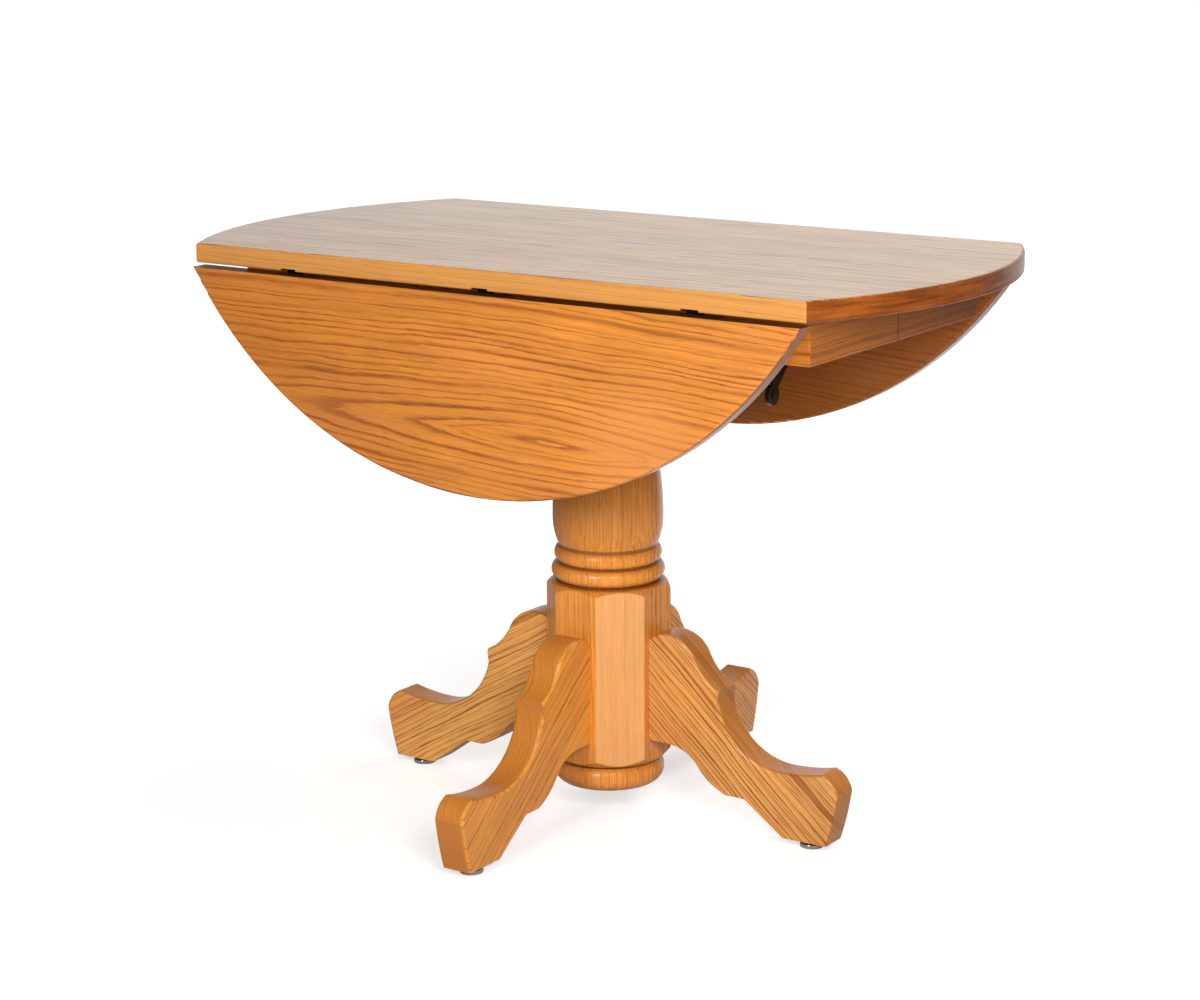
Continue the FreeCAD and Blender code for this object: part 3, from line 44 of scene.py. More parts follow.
def add(tree, kind, sockets=(), **settings):
    """Adds a node: settings are its properties, and sockets pairs each input, by name or number, with a
    value, a node (its first live output is linked) or an output."""
    made = tree.nodes.new(kind)
    for key, item in settings.items():
        setattr(made, key, item)
    for key, item in dict(sockets).items():
        live = [socket for socket in made.inputs if socket.enabled]
        entry = live[key] if isinstance(key, int) else [socket for socket in live if socket.name == key][0]
        if isinstance(item, bpy.types.Node):
            item = live_output(item)
        if isinstance(item, bpy.types.NodeSocket):
            tree.links.new(item, entry)
        else:
            entry.default_value = item
    return made


def new_material(name):
    """Empty node material: (material, its node tree)."""
    material = bpy.data.materials.new(name)
    material.use_nodes = True
    material.node_tree.nodes.clear()
    return material, material.node_tree


def surface(material, sockets):
    """Ends a material with a Principled shader that has these inputs."""
    shader = add(material.node_tree, "ShaderNodeBsdfPrincipled", sockets)
    add(material.node_tree, "ShaderNodeOutputMaterial", {"Surface": shader})
    return material


def wear(material, *names):
    """Gives CAD nodes a material in place of the plain one that they came with."""
    for name in names:
        nodes[name].data.materials.clear()
        nodes[name].data.materials.append(material)


# Stained oak under lacquer: bands of dark open earlywood between smooth golden latewood, short dark
# pores drawn out along the grain, and a clear coat that catches the lamps along every rounded edge.
OAK_LATE = "#e28934"
OAK_EARLY = "#ad5f1a"
OAK_PORE = "#84420f"
OAK_ROSE = "#da8640"
END_GRAIN_DARK = "#7a3a0c"
END_GRAIN_PALE = "#a6561a"
WOOD_IOR = 1.5
MOST_NOISE = {"From Min": 0.3, "From Max": 0.7}  # nearly all of a noise's values lie in this span
STAVE_STARTS = 3.0  # metres of tree from which a stave's length is taken by chance
POINTED = 1.6  # power in a ring's radius: 2 gives round arches, and less gives pointed ones
RAGGED = 4.5  # mm by which the fine noise moves a ring's line
DRIFT_OVER = 2.5  # rings over which good and bad years change the spacing
DRIFT = 2.2  # rings by which they move a line
WEAKEST = 0.5  # share of dark in the palest ring
FADED = 0.4  # share of dark where a ring has faded
PORES_IN_LATE = 0.2  # share of pores in latewood
PORES_IN_EARLY = 0.7  # what full earlywood adds to it
ARRIS = 1.5  # mm radius of the sanded edges
DIP_DEPTH = 0.3  # mm that the lacquer dips over the pores

# Sizes of the noises' patches, in mm along the grain, across it and in depth
WAVES = (200, 83.3, 83.3)
RAGS = (71.4, 6.67, 6.67)
PORES = (25, 1.54, 1.54)
FIBRES = (83.3, 3.03, 3.03)
ROSY_PATCHES = (250, 100, 100)
STAIN_CLOUDS = (143, 45.5, 45.5)
END_STREAKS = (83.3, 83.3, 4.55)
FADE_WIDTH = 16.7  # from ring to ring


def grain_patches(tree, spot, sizes, detail=2.0, roughness=0.5):
    """Noise in patches drawn out along the grain: the coordinate over the size of a patch, which is given
    in mm along the grain, across it and in depth."""
    counts = [1 / (size * MM) for size in sizes]
    scaled = add(tree, "ShaderNodeVectorMath", {0: spot, 1: counts}, operation="MULTIPLY")
    return add(tree, "ShaderNodeTexNoise", {"Vector": scaled, "Scale": 1.0, "Detail": detail,
                                            "Roughness": roughness})


def glued_staves(tree, along, across, width, pith, seed):
    """Strips of a width in mm, numbered across the grain: the whole part of across / width. The number
    gives three chances: where a strip starts along the tree, where its pith lies, and its tone. Returns
    (place along the tree, side of the pith, tone)."""
    count = add(tree, "ShaderNodeMath", {0: across, 1: 1 / (width * MM), 2: seed}, operation="MULTIPLY_ADD")
    number = add(tree, "ShaderNodeMath", {0: count}, operation="FLOOR")
    inside = add(tree, "ShaderNodeMath", {0: count}, operation="FRACT")
    chance = add(tree, "ShaderNodeTexWhiteNoise", {"W": number}, noise_dimensions="1D")
    chances = add(tree, "ShaderNodeSeparateXYZ", {"Vector": chance.outputs["Color"]})
    start, heart, shade = chances.outputs
    shift = add(tree, "ShaderNodeMath", {0: start, 1: STAVE_STARTS, 2: along}, operation="MULTIPLY_ADD")
    side = add(tree, "ShaderNodeMath", {0: inside, 1: heart}, operation="SUBTRACT")
    side = add(tree, "ShaderNodeMath", {0: side, 1: width * MM, 2: pith * MM}, operation="MULTIPLY_ADD")
    tone = add(tree, "ShaderNodeMapRange", {"Value": shade, "To Min": 0.93, "To Max": 1.07})
    return shift, side, tone


def growth_rings(tree, laid, shift, side, ring, pith, taper, spread, wave, contrast, dash):
    """Share of dark earlywood in rings round a pith line that runs along the grain. The radius is
    (|side / spread|^p + |depth|^p)^(1/p) plus waviness, and the share follows the fraction of radius / ring
    spacing. The depth changes along the grain by a slope (taper), so that a face which the pith line
    crosses shows nested pointed arches."""
    parts = add(tree, "ShaderNodeSeparateXYZ", {"Vector": laid})
    across, deep = parts.outputs["Y"], parts.outputs["Z"]
    slow_at = add(tree, "ShaderNodeCombineXYZ", {"X": shift, "Y": across, "Z": deep})
    slow = grain_patches(tree, slow_at, WAVES, roughness=0.4)
    fine = grain_patches(tree, laid, RAGS, detail=3.0, roughness=0.6)
    depth = add(tree, "ShaderNodeMath", {0: shift, 1: taper, 2: deep}, operation="MULTIPLY_ADD")
    depth = add(tree, "ShaderNodeMath", {0: depth, 1: pith * MM}, operation="SUBTRACT")
    side = add(tree, "ShaderNodeMath", {0: side, 1: spread}, operation="DIVIDE")
    powers = []
    for part in (side, depth):
        part = add(tree, "ShaderNodeMath", {0: part}, operation="ABSOLUTE")
        powers.append(add(tree, "ShaderNodeMath", {0: part, 1: POINTED}, operation="POWER"))
    radius = add(tree, "ShaderNodeMath", {0: powers[0], 1: powers[1]}, operation="ADD")
    radius = add(tree, "ShaderNodeMath", {0: radius, 1: 1 / POINTED}, operation="POWER")
    radius = add(tree, "ShaderNodeMath", {0: slow, 1: wave * MM, 2: radius}, operation="MULTIPLY_ADD")
    radius = add(tree, "ShaderNodeMath", {0: fine, 1: RAGGED * MM, 2: radius}, operation="MULTIPLY_ADD")

    # Good and bad years: the spacing of the rings drifts over a few of them
    years = add(tree, "ShaderNodeMath", {0: radius, 1: 1 / (DRIFT_OVER * ring * MM)}, operation="MULTIPLY")
    years = add(tree, "ShaderNodeTexNoise", {"W": years, "Scale": 1.0, "Detail": 1.0},
                noise_dimensions="1D")
    phase = add(tree, "ShaderNodeMath", {0: radius, 1: 1 / (ring * MM)}, operation="MULTIPLY")
    phase = add(tree, "ShaderNodeMath", {0: years, 1: DRIFT, 2: phase}, operation="MULTIPLY_ADD")

    # A ring: quick change into dark earlywood, slow change back; rings differ, and fade along their length
    ring_part = add(tree, "ShaderNodeMath", {0: phase}, operation="FRACT")
    rise = add(tree, "ShaderNodeMapRange", {"Value": ring_part, "From Max": 0.14},
               interpolation_type="SMOOTHSTEP")
    fall = add(tree, "ShaderNodeMapRange", {"Value": ring_part, "From Min": 0.16, "From Max": 0.52},
               interpolation_type="SMOOTHSTEP")
    early = add(tree, "ShaderNodeMath", {0: rise, 1: fall}, operation="SUBTRACT")
    ring_number = add(tree, "ShaderNodeMath", {0: phase}, operation="FLOOR")
    chance = add(tree, "ShaderNodeTexWhiteNoise", {"W": ring_number}, noise_dimensions="1D")
    strength = add(tree, "ShaderNodeMath", {0: chance.outputs["Value"], 1: 1 - WEAKEST, 2: WEAKEST},
                   operation="MULTIPLY_ADD")
    fade_at = add(tree, "ShaderNodeCombineXYZ", {"X": shift, "Y": radius})
    fade = grain_patches(tree, fade_at, (dash, FADE_WIDTH, FADE_WIDTH))
    fade = add(tree, "ShaderNodeMapRange", {"Value": fade, "From Min": 0.32, "From Max": 0.62,
                                            "To Min": FADED * contrast, "To Max": contrast})
    strength = add(tree, "ShaderNodeMath", {0: strength, 1: fade}, operation="MULTIPLY")
    return add(tree, "ShaderNodeMath", {0: early, 1: strength}, operation="MULTIPLY")


def lacquered_oak(name, turn, ring, pith, staves=0.0, taper=0.0, spread=1.0, wave=10.0, contrast=1.0,
                  seed=0.0, light=OAK_LATE, dark=OAK_EARLY, coat=0.35, soak=1.0, polish=0.0, dash=200.0):
    """Oak with the figure of growth_rings, under pores, stain and lacquer. Sizes are in mm; turn is in
    degrees and lays the grain along x; pith is the pith's place across the grain and in depth, after that
    turn; staves is the width of glued strips, or 0 for one plank; soak is how far the stain darkens end
    grain; polish is the coat of a face that looks up; dash is the length over which a line fades."""
    material, tree = new_material(name)
    place = add(tree, "ShaderNodeTexCoord")
    turned = [math.radians(angle) for angle in turn]
    laid = add(tree, "ShaderNodeMapping", {"Vector": place.outputs["Object"], "Rotation": turned})
    parts = add(tree, "ShaderNodeSeparateXYZ", {"Vector": laid})
    along, across = parts.outputs["X"], parts.outputs["Y"]
    if staves:
        shift, side, tone = glued_staves(tree, along, across, staves, pith[0], seed)
    else:
        shift = add(tree, "ShaderNodeMath", {0: along, 1: seed}, operation="ADD")
        side = add(tree, "ShaderNodeMath", {0: across, 1: pith[0] * MM}, operation="SUBTRACT")
    early = growth_rings(tree, laid, shift, side, ring, pith[1], taper, spread, wave, contrast, dash)

    # Pores about 1.5 mm wide and 25 mm long, wider than real ones so that they show, and softer fibres
    pore = grain_patches(tree, laid, PORES)
    pore = add(tree, "ShaderNodeMapRange", {"Value": pore, "From Min": 0.52, "From Max": 0.72})
    share = add(tree, "ShaderNodeMath", {0: early, 1: PORES_IN_EARLY, 2: PORES_IN_LATE},
                operation="MULTIPLY_ADD")
    pore = add(tree, "ShaderNodeMath", {0: pore, 1: share}, operation="MULTIPLY")
    fibre = grain_patches(tree, laid, FIBRES)
    fibre = add(tree, "ShaderNodeMapRange", {"Value": fibre, **MOST_NOISE, "To Min": 0.90, "To Max": 1.10})

    # Golden and rosy patches, earlywood, then pores
    rosy = grain_patches(tree, laid, ROSY_PATCHES)
    rosy = add(tree, "ShaderNodeMapRange", {"Value": rosy, "From Min": 0.45, "From Max": 0.75,
                                            "To Max": 0.6})
    colour = linear(light)
    for factor, code in ((rosy, OAK_ROSE), (early, dark), (pore, OAK_PORE)):
        colour = add(tree, "ShaderNodeMix", {"Factor": factor, "A": colour, "B": linear(code)},
                     data_type="RGBA")

    # Cloudy stain, a little different from stave to stave, and soaked in deep and red on end grain
    cloud = grain_patches(tree, laid, STAIN_CLOUDS, detail=3.0)
    shade = add(tree, "ShaderNodeMapRange", {"Value": cloud, **MOST_NOISE, "To Min": 0.90, "To Max": 1.08})
    shade = add(tree, "ShaderNodeMath", {0: shade, 1: fibre}, operation="MULTIPLY")
    if staves:
        shade = add(tree, "ShaderNodeMath", {0: shade, 1: tone}, operation="MULTIPLY")
    colour = add(tree, "ShaderNodeVectorMath", {0: colour, "Scale": shade}, operation="SCALE")
    facing = add(tree, "ShaderNodeMapping", {"Vector": place.outputs["Normal"], "Rotation": turned},
                 vector_type="NORMAL")
    facing = add(tree, "ShaderNodeSeparateXYZ", {"Vector": facing})
    lengthwise = facing.outputs["X"]
    end = add(tree, "ShaderNodeMath", {0: lengthwise, 1: lengthwise}, operation="MULTIPLY")
    end = add(tree, "ShaderNodeMapRange", {"Value": end, "From Min": 0.05, "From Max": 0.5, "To Max": soak},
              interpolation_type="SMOOTHSTEP")
    streak = grain_patches(tree, laid, END_STREAKS, detail=3.0)
    streak = add(tree, "ShaderNodeMapRange", {"Value": streak, "From Min": 0.35, "From Max": 0.65})
    soaked = add(tree, "ShaderNodeMix", {"Factor": streak, "A": linear(END_GRAIN_DARK),
                                         "B": linear(END_GRAIN_PALE)}, data_type="RGBA")
    soaked = add(tree, "ShaderNodeVectorMath", {0: soaked, "Scale": shade}, operation="SCALE")
    colour = add(tree, "ShaderNodeMix", {"Factor": end, "A": colour, "B": soaked}, data_type="RGBA")

    # Lacquer fills most of the grain: slight dips over the pores, sanded edges, gloss that varies a little
    dips = add(tree, "ShaderNodeMath", {0: 1.0, 1: pore}, operation="SUBTRACT")
    arris = add(tree, "ShaderNodeBevel", {"Radius": ARRIS * MM}, samples=6)
    bump = add(tree, "ShaderNodeBump", {"Strength": 0.25, "Distance": DIP_DEPTH * MM, "Height": dips,
                                        "Normal": arris})
    gloss = add(tree, "ShaderNodeMapRange", {"Value": cloud, **MOST_NOISE, "To Min": 0.44, "To Max": 0.36})
    weight = coat
    if polish:
        upward = add(tree, "ShaderNodeSeparateXYZ", {"Vector": place.outputs["Normal"]})
        weight = add(tree, "ShaderNodeMapRange", {"Value": upward.outputs["Z"], "From Min": 0.8,
                                                  "To Min": coat, "To Max": polish})
    return surface(material, {"Base Color": colour, "Roughness": gloss, "Normal": bump, "IOR": WOOD_IOR,
                              "Specular IOR Level": 0.35, "Coat Weight": weight, "Coat Roughness": 0.16})


def overlay(material, code, share, kind, against, at, within, until, measure="DOT_PRODUCT"):
    """Lays a colour over a material by a measure of a coordinate, Object in metres or Normal: its dot
    product with a vector, or its distance from a point. The colour has its full share where the measure
    lies within a band round the value at, and it has faded out where the wider band until ends."""
    tree = material.node_tree
    entry = [node for node in tree.nodes if node.type == "BSDF_PRINCIPLED"][0].inputs["Base Color"]
    below = entry.links[0].from_socket
    place = add(tree, "ShaderNodeTexCoord")
    found = add(tree, "ShaderNodeVectorMath", {0: place.outputs[kind], 1: against}, operation=measure)
    off = add(tree, "ShaderNodeMath", {0: found.outputs["Value"], 1: at}, operation="SUBTRACT")
    off = add(tree, "ShaderNodeMath", {0: off}, operation="ABSOLUTE")
    factor = add(tree, "ShaderNodeMapRange", {"Value": off, "From Min": within, "From Max": until,
                                              "To Min": share, "To Max": 0.0},
                 interpolation_type="SMOOTHSTEP")
    mixed = add(tree, "ShaderNodeMix", {"Factor": factor, "A": below, "B": linear(code)}, data_type="RGBA")
    tree.links.new(live_output(mixed), entry)


# Painted shade darkens the vase, where the leaf and the top shade it, and the turned grooves; a painted
# reflection makes the flat between the front leg and the right one paler. Heights are in metres.
UPRIGHT = (90, -56, 90)
UPWARD = (0.0, 0.0, 1.0)
FRONT_RIGHT = (math.sqrt(0.5), -math.sqrt(0.5), 0.0)
VASE_SHADE = "#8a4a1c"
VASE_MIDDLE = 0.56
FACET_SHEEN = "#f0bb7c"
GROOVE_SHADE = "#6e3510"
GROOVE_HEIGHTS = (0.0715, 0.315, 0.3395, 0.3622)
flat_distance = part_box("pedestal_column")[1][0]
column_oak = lacquered_oak("lacquered oak, upright staves", UPRIGHT, ring=4, pith=(0, -220), staves=62,
                           taper=0.015, wave=6, contrast=0.9, light="#ef9a40", dark="#b46624", soak=0.25)
# Painted shade: darker on the upper vase, under the leaf and the top
overlay(column_oak, VASE_SHADE, 0.42, "Object", UPWARD, at=VASE_MIDDLE, within=0.05, until=0.17)
# Painted reflection: the front-right flat is paler
overlay(column_oak, FACET_SHEEN, 0.45, "Object", FRONT_RIGHT, at=flat_distance, within=0.6 * MM,
        until=1.2 * MM)
# Painted shade in the turned grooves
for height in GROOVE_HEIGHTS:
    overlay(column_oak, GROOVE_SHADE, 0.75, "Object", UPWARD, at=height, within=0.8 * MM, until=3.6 * MM)
wear(column_oak, "pedestal_column")

# Legs: four boards sawn to an S-curve with the grain running down and out, butted on the column's
# flats. Same oak, stain and lacquer, with broad flat-sawn figure on the two wide faces and plainer
# narrow faces.
RIGHTWARD = (1.0, 0.0, 0.0)
BACKWARD = (0.0, 1.0, 0.0)
LEG_EDGE = "#c27426"
LEG_BOARDS = (
    # Place, turn of the grain in degrees, way that a broad face looks, contrast, latewood, earlywood
    ("right", (-90, 0, 42), BACKWARD, 1.6, "#e6a256", "#965220"),
    ("left", (-90, 0, -30), BACKWARD, 1.3, "#f2ae5a", "#a9642a"),
    ("front", (-40, 0, -90), RIGHTWARD, 1.1, "#f2a244", "#b0662a"),
    ("back", (42, 0, -90), RIGHTWARD, 1.4, "#e29a50", "#a45e28"),
)
for number, (side, turn, broad, contrast, light, dark) in enumerate(LEG_BOARDS):
    leg_oak = lacquered_oak(f"lacquered oak, {side} leg", turn, ring=5.4, pith=(420, -60), wave=16,
                            contrast=contrast, seed=0.37 + number, light=light, dark=dark, soak=0.3)
    overlay(leg_oak, LEG_EDGE, 0.7, "Normal", broad, at=0.0, within=0.3, until=0.75)
    wear(leg_oak, f"leg_{side}")

# Bolts, nuts and screws: turned or cold-headed steel with a thin bright zinc plating.
# Zinc gives a slightly blue grey with soft spangle and a satin reflection.
WHOLE_NOISE = {"From Min": 0.0, "From Max": 1.0}


def fine_finish(name, colour, size, detail, dip, rough, strength, dent, span=WHOLE_NOISE, metallic=0.0):
    """Surface whose tone, roughness and bump follow one fine noise, its size in mm: the tone falls by a
    share (dip), the roughness goes from one value to the other over a span of the noise, and the bump has
    a strength and a depth in mm (dent)."""
    material, tree = new_material(name)
    place = add(tree, "ShaderNodeTexCoord")
    noise = add(tree, "ShaderNodeTexNoise", {"Vector": place.outputs["Object"], "Scale": 1 / (size * MM),
                                             "Detail": detail})
    low = [channel * (1 - dip) for channel in linear(colour)[:3]] + [1.0]
    tint = add(tree, "ShaderNodeMix", {"Factor": noise, "A": low, "B": linear(colour)}, data_type="RGBA")
    gloss = add(tree, "ShaderNodeMapRange", {"Value": noise, **span, "To Min": rough[0], "To Max": rough[1]})
    bump = add(tree, "ShaderNodeBump", {"Strength": strength, "Distance": dent * MM, "Height": noise})
    return surface(material, {"Base Color": tint, "Roughness": gloss, "Normal": bump, "Metallic": metallic})


METAL = {"detail": 3.0, "strength": 0.2, "span": MOST_NOISE, "metallic": 1.0}
zinc = fine_finish("zinc-plated steel", "#b4b8bd", size=3.0, dip=0.12, rough=(0.304, 0.456), dent=0.02,
                   **METAL)
wear(zinc, "leg_hanger_bolts", "leg_bolt_nuts", "plate_lag_screws", "slide_centre_screws", "pinion_axle",
     "top_screws_front", "top_screws_back", "hinge_screws_front", "hinge_screws_back")

# Dowels of the leg joints and of the seam: fluted beech rod, raw and pale.
# Slides, mounting plate and corner blocks: planed maple, unstained and only sealed.
LINE_LENGTH = 167  # mm
ALONG_X = (0, 0, 0)
ALONG_Y = (0, 0, -90)


def raw_wood(name, turn, light, dark, line):
    """Close-grained wood: soft lines along the grain from a stretched noise, line width in mm."""
    material, tree = new_material(name)
    place = add(tree, "ShaderNodeTexCoord")
    turned = [math.radians(angle) for angle in turn]
    laid = add(tree, "ShaderNodeMapping", {"Vector": place.outputs["Object"], "Rotation": turned})
    lines = grain_patches(tree, laid, (LINE_LENGTH, line, line), detail=4.0, roughness=0.6)
    lines = add(tree, "ShaderNodeMapRange", {"Value": lines, **MOST_NOISE}, interpolation_type="SMOOTHSTEP")
    colour = add(tree, "ShaderNodeMix", {"Factor": lines, "A": linear(dark), "B": linear(light)},
                 data_type="RGBA")
    bump = add(tree, "ShaderNodeBump", {"Strength": 0.2, "Distance": 0.2 * MM, "Height": lines})
    rough = add(tree, "ShaderNodeMapRange", {"Value": lines, "To Min": 0.62, "To Max": 0.5})
    return surface(material, {"Base Color": colour, "Roughness": rough, "Normal": bump, "IOR": WOOD_IOR})


beech_rod = raw_wood("raw beech, dowels", ALONG_Y, "#d9b98c", "#c39d6c", line=2)
wear(beech_rod, "leg_dowels", "alignment_dowels")
maple_along = raw_wood("sealed maple, slides", ALONG_Y, "#dcbd8e", "#c79f69", line=5)
wear(maple_along, "slide_centre_left", "slide_centre_right", "slide_front_left", "slide_front_right",
     "slide_back_left", "slide_back_right")
maple_plate = raw_wood("sealed maple, plate and blocks", ALONG_X, "#d3b07d", "#b98e58", line=9)
wear(maple_plate, "mounting_plate", "corner_blocks_front", "corner_blocks_back")

# Glides: pressed discs of polished nickelled steel under each foot, nearly as bright as a mirror, with a
# moulded black collar between the disc and the wood. The collar's fine grit comes from its
# spark-eroded mould, and makes it dull.
MOULDED = {"detail": 2.0, "dip": 0.15, "strength": 0.15, "dent": 0.05}
polished = fine_finish("polished nickelled steel", "#cfd0d2", size=6.0, dip=0.06, rough=(0.112, 0.168),
                       dent=0.01, **METAL)
wear(polished, "foot_glides")
collar_black = fine_finish("moulded black polypropylene", "#17130f", size=0.6, rough=(0.44, 0.56),
                           **MOULDED)
wear(collar_black, "glide_collars")

# Equaliser: a moulded nylon pinion on an axle in the mounting plate, between two maple racks, so that
# both halves of the top slide out together. Natural nylon is a milky off-white.
nylon = fine_finish("natural nylon", "#d8d2c2", size=0.8, rough=(0.36, 0.48), **MOULDED)
wear(nylon, "equaliser_pinion")
wear(maple_along, "rack_front", "rack_back")

# Top: two halves that meet at a seam in the middle, each glued up from oak staves with the grain along
# the seam. The upper edge is rounded over, and the lacquer mirrors the bright room at a low angle.
# The straight front edge is paler.
FRONT_EDGE = "#da9450"
top_oak = lacquered_oak("lacquered oak, top", ALONG_X, ring=5, pith=(0, 690), staves=93.5, taper=0.02,
                        wave=8, contrast=1.8, light="#d49a3f", dark="#985f29", coat=0.2, polish=0.75,
                        dash=62.5)
overlay(top_oak, FRONT_EDGE, 0.7, "Normal", BACKWARD, at=-1.0, within=0.1, until=0.3)
wear(top_oak, "top_front", "top_back")

# Apron: rails along the hinge edges and boards across the ends, set back under the top and stained
# with it. Straight-grained oak, grain along each board. The end boards have darker oak colours than the
# rails, painted shade from the overhanging top, with more painted shade towards the back; the seam
# between their halves is a dark line.
HALVES = ("front", "back")
FAR_SHADE = "#5a2c10"
SEAM_LINE = "#2a1408"
CUT_END = "#94571f"
rail_oak = lacquered_oak("lacquered oak, apron rails", ALONG_X, ring=6, pith=(300, 400), wave=9)
wear(rail_oak, "apron_rail_front", "apron_rail_back")
# The end boards' darker oak colours are painted shade from the overhanging top
end_oak = lacquered_oak("lacquered oak, apron ends", ALONG_Y, ring=6, pith=(-450, 300), wave=8, seed=0.5,
                        light="#bd7124", dark="#844412", coat=0.1)
# Painted shade, deeper towards the back of the end boards
overlay(end_oak, FAR_SHADE, 0.5, "Object", BACKWARD, at=0.25, within=0.05, until=0.4)
overlay(end_oak, SEAM_LINE, 0.85, "Object", BACKWARD, at=0.0, within=0.8 * MM, until=1.8 * MM)
for outward in (1.0, -1.0):
    overlay(end_oak, CUT_END, 0.95, "Normal", BACKWARD, at=outward, within=0.1, until=0.3)
for half in HALVES:
    wear(end_oak, f"apron_end_{half}_left", f"apron_end_{half}_right")

# Hinges: pressed steel plates let into the wood, blued dark so that they do not show in the joint.
# Their rolled knuckles turn on a zinc-plated pin, and the leaf's screws are zinc-plated too.
hinge_steel = fine_finish("blued steel", "#2c2826", size=4.0, dip=0.12, rough=(0.336, 0.504), dent=0.02,
                          **METAL)
for half in HALVES:
    wear(hinge_steel, f"hinge_plates_{half}", f"leaf_hinge_plates_{half}")
    wear(zinc, f"hinge_pins_{half}", f"leaf_screws_{half}")

# Leaves: round-edged segments of the same oak that hang from the hinges. The front one shows straight
# lines near the hinge and nested arches low in its middle, where the saw crossed the heart of the tree.
# Painted shade darkens the inner faces, and the edges at the hinges are painted dark for the shade
# in the joint. The front leaf also darkens towards its left end. Places are in metres.
FRONT_TURN = (-90, 0, 2)
BACK_TURN = (90, 0, -4)
LEAF_LATE = "#da8833"
LEAF_EARLY = "#a05619"
LEFT_DARKENING = "#a4561a"
LEFT_END = -0.46
PALE_PATCH = "#e6924c"
PATCH_AT = (0.235, -0.29, 0.565)
INNER_FACE_SHADE = "#85461a"
JOINT_SHADE = "#4a2812"
leaf_front_oak = lacquered_oak("lacquered oak, front leaf", FRONT_TURN, ring=6, pith=(562, 325.2),
                               taper=0.06, spread=1.4, wave=13, contrast=1.25, seed=0.5, coat=0.5,
                               light=LEAF_LATE, dark=LEAF_EARLY)
# Darker towards the left end of the leaf
overlay(leaf_front_oak, LEFT_DARKENING, 0.3, "Object", RIGHTWARD, at=LEFT_END, within=0.0, until=0.6)
overlay(leaf_front_oak, PALE_PATCH, 0.55, "Object", PATCH_AT, at=0.0, within=0.02, until=0.12,
        measure="DISTANCE")
# Painted shade: the upper edge at the hinges is dark, as the shadow in the joint
overlay(leaf_front_oak, JOINT_SHADE, 1.0, "Normal", UPWARD, at=1.0, within=0.2, until=0.4)
# Painted shade on the inner face
overlay(leaf_front_oak, INNER_FACE_SHADE, 0.6, "Normal", BACKWARD, at=1.0, within=0.2, until=0.5)
wear(leaf_front_oak, "leaf_front")
leaf_back_oak = lacquered_oak("lacquered oak, back leaf", BACK_TURN, ring=6, pith=(-640, 330), taper=0.06,
                              spread=1.2, wave=12, contrast=0.9, seed=0.9, coat=0.5, light=LEAF_LATE,
                              dark=LEAF_EARLY)
# Painted shade on the inner face
overlay(leaf_back_oak, INNER_FACE_SHADE, 0.6, "Normal", BACKWARD, at=-1.0, within=0.2, until=0.5)
# Painted shade: the upper edge at the hinges is dark, as the shadow in the joint
overlay(leaf_back_oak, JOINT_SHADE, 1.0, "Normal", UPWARD, at=1.0, within=0.2, until=0.4)
wear(leaf_back_oak, "leaf_back")

# Stays: folding steel arms and brackets that hold a raised leaf, stamped from strip and sprayed with
# black enamel. The enamel is semi-gloss with a slight orange peel.
enamel = fine_finish("black enamel on steel", "#1a1816", size=1.8, detail=1.0, dip=0.2, rough=(0.26, 0.40),
                     strength=0.2, dent=0.05)
for half in HALVES:
    wear(enamel, f"stay_brackets_{half}", f"leaf_stay_brackets_{half}", f"stay_upper_arms_{half}",
         f"stay_lower_arms_{half}")

# Studio: a pale floor that keeps the table's shadow, a white backdrop behind the table that its lacquer
# mirrors, and soft lamps: two in front with a small spark that only shows as glints, and one behind.
FLOOR_REACH = 40.0
PAPER = "#d4d2cf"
WHITE = (1.0, 1.0, 1.0, 1.0)
BACKDROP = (-0.30, 0.954, 0.0)
DARK_STUDIO = 0.10
floor_mesh = bpy.data.meshes.new("studio_floor")
floor_corners = [(x * FLOOR_REACH, y * FLOOR_REACH, 0.0) for x, y in ((-1, -1), (1, -1), (1, 1), (-1, 1))]
floor_mesh.from_pydata(floor_corners, [], [(0, 1, 2, 3)])
floor = bpy.data.objects.new("studio_floor", floor_mesh)
bpy.context.scene.collection.objects.link(floor)


def white_behind(tree, heading, low):
    """Strength 1 in the directions of the white backdrop behind the table, and low towards the dark
    studio: a smooth step of the direction's dot product with the backdrop's."""
    behind = add(tree, "ShaderNodeVectorMath", {0: heading, 1: BACKDROP}, operation="DOT_PRODUCT")
    return add(tree, "ShaderNodeMapRange", {"Value": behind.outputs["Value"], "From Min": 0.70,
                                            "From Max": 0.98, "To Min": low, "To Max": 1.0},
               interpolation_type="SMOOTHSTEP")


# The camera sees white paper all round, a little less bright by the table so that the shadow shows
paper, tree = new_material("white paper sweep")
matt = add(tree, "ShaderNodeBsdfPrincipled", {"Base Color": linear(PAPER), "Roughness": 0.9,
                                              "Specular IOR Level": 0.0})
path = add(tree, "ShaderNodeLightPath")
place = add(tree, "ShaderNodeTexCoord")
away = add(tree, "ShaderNodeVectorMath", {0: place.outputs["Object"]}, operation="LENGTH")
glow = add(tree, "ShaderNodeMapRange", {"Value": away.outputs["Value"], "From Min": 0.5, "From Max": 1.5,
                                        "To Min": 0.62, "To Max": 1.0}, interpolation_type="SMOOTHSTEP")
heading = add(tree, "ShaderNodeVectorMath", {0: place.outputs["Object"]}, operation="NORMALIZE")
mirrored = white_behind(tree, heading, 0.0)
seen = add(tree, "ShaderNodeMath", {0: mirrored, 1: path.outputs["Is Glossy Ray"]}, operation="MULTIPLY")
for ray in ("Is Camera Ray", "Is Transmission Ray"):
    seen = add(tree, "ShaderNodeMath", {0: path.outputs[ray], 1: seen}, operation="MAXIMUM")
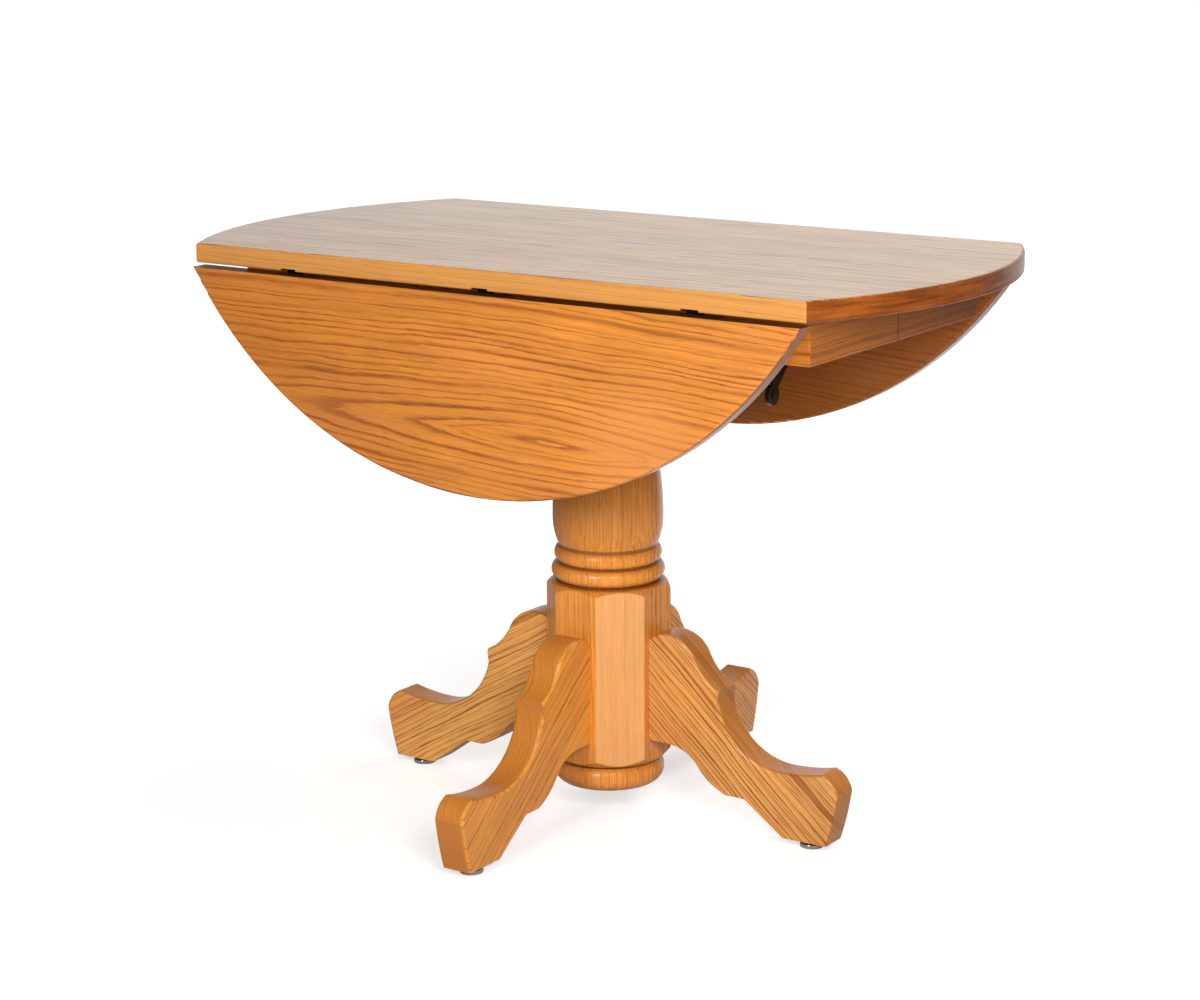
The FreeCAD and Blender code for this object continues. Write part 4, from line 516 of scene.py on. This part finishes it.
seen = add(tree, "ShaderNodeMath", {0: seen, 1: glow}, operation="MULTIPLY")
white = add(tree, "ShaderNodeEmission", {"Color": WHITE, "Strength": seen})
lit = add(tree, "ShaderNodeAddShader", {0: matt, 1: white})
add(tree, "ShaderNodeOutputMaterial", {"Surface": lit})
floor_mesh.materials.append(paper)

# Room: the white backdrop stands behind the table, and the studio in front of it is dark
world = bpy.data.worlds.new("studio")
bpy.context.scene.world = world
world.use_nodes = True
tree = world.node_tree
tree.nodes.clear()
path = add(tree, "ShaderNodeLightPath")
place = add(tree, "ShaderNodeTexCoord")
strength = white_behind(tree, place.outputs["Generated"], DARK_STUDIO)
for ray in ("Is Camera Ray", "Is Transmission Ray"):
    strength = add(tree, "ShaderNodeMath", {0: path.outputs[ray], 1: strength}, operation="MAXIMUM")
room = add(tree, "ShaderNodeBackground", {"Color": WHITE, "Strength": strength})
add(tree, "ShaderNodeOutputWorld", {"Surface": room})

LOOK_AT = Vector((0.0, 0.0, 0.42))
LAMPS = (
    # Name, degrees round from the front to the right, degrees up, metres away, metres wide, watts,
    # whether it lights surfaces, whether it is mirrored in them
    ("left softbox", 4, 22, 3.2, 1.0, 38.0, True, True),
    ("right softbox", 45, 22, 2.6, 0.8, 43.0, True, False),
    ("right spark", 44, 30, 2.6, 0.3, 7.0, False, True),
    ("rear softbox", 160, 48, 3.0, 1.4, 30.0, True, False),
)
for name, azimuth, elevation, distance, width, power, lights, glints in LAMPS:
    lamp = bpy.data.lights.new(name, "AREA")
    lamp.shape = "SQUARE"
    lamp.size = width
    lamp.energy = power
    stand = bpy.data.objects.new(name, lamp)
    bpy.context.scene.collection.objects.link(stand)
    stand.visible_diffuse = lights
    stand.visible_glossy = glints
    around = math.radians(azimuth)
    above = math.radians(elevation)
    flat_part = distance * math.cos(above)
    offset = (flat_part * math.sin(around), -flat_part * math.cos(around), distance * math.sin(above))
    stand.location = LOOK_AT + Vector(offset)
    stand.rotation_euler = (LOOK_AT - stand.location).to_track_quat("-Z", "Y").to_euler()

# Camera: at the photograph's height and distance, turned to the front leaf and the right end.
# A long lens, in mm on a frame of 36 mm, tipped down a little. Place in metres, turns in degrees.
CAMERA_AT = (1.9651, -2.9455, 1.2486)
FROM_FRONT = 33.879
TIPPED_DOWN = 13.194
ROLLED = -0.300
lens = bpy.data.cameras.new("camera")
lens.sensor_fit = "HORIZONTAL"
lens.sensor_width = 36.0
lens.lens = 82.80
camera = bpy.data.objects.new("camera", lens)
bpy.context.scene.collection.objects.link(camera)
camera.matrix_world = (Matrix.Translation(CAMERA_AT)
                       @ Matrix.Rotation(math.radians(FROM_FRONT), 4, "Z")
                       @ Matrix.Rotation(math.radians(90 - TIPPED_DOWN), 4, "X")
                       @ Matrix.Rotation(math.radians(ROLLED), 4, "Z"))
bpy.context.scene.camera = camera
bpy.context.scene.view_settings.view_transform = "Standard"
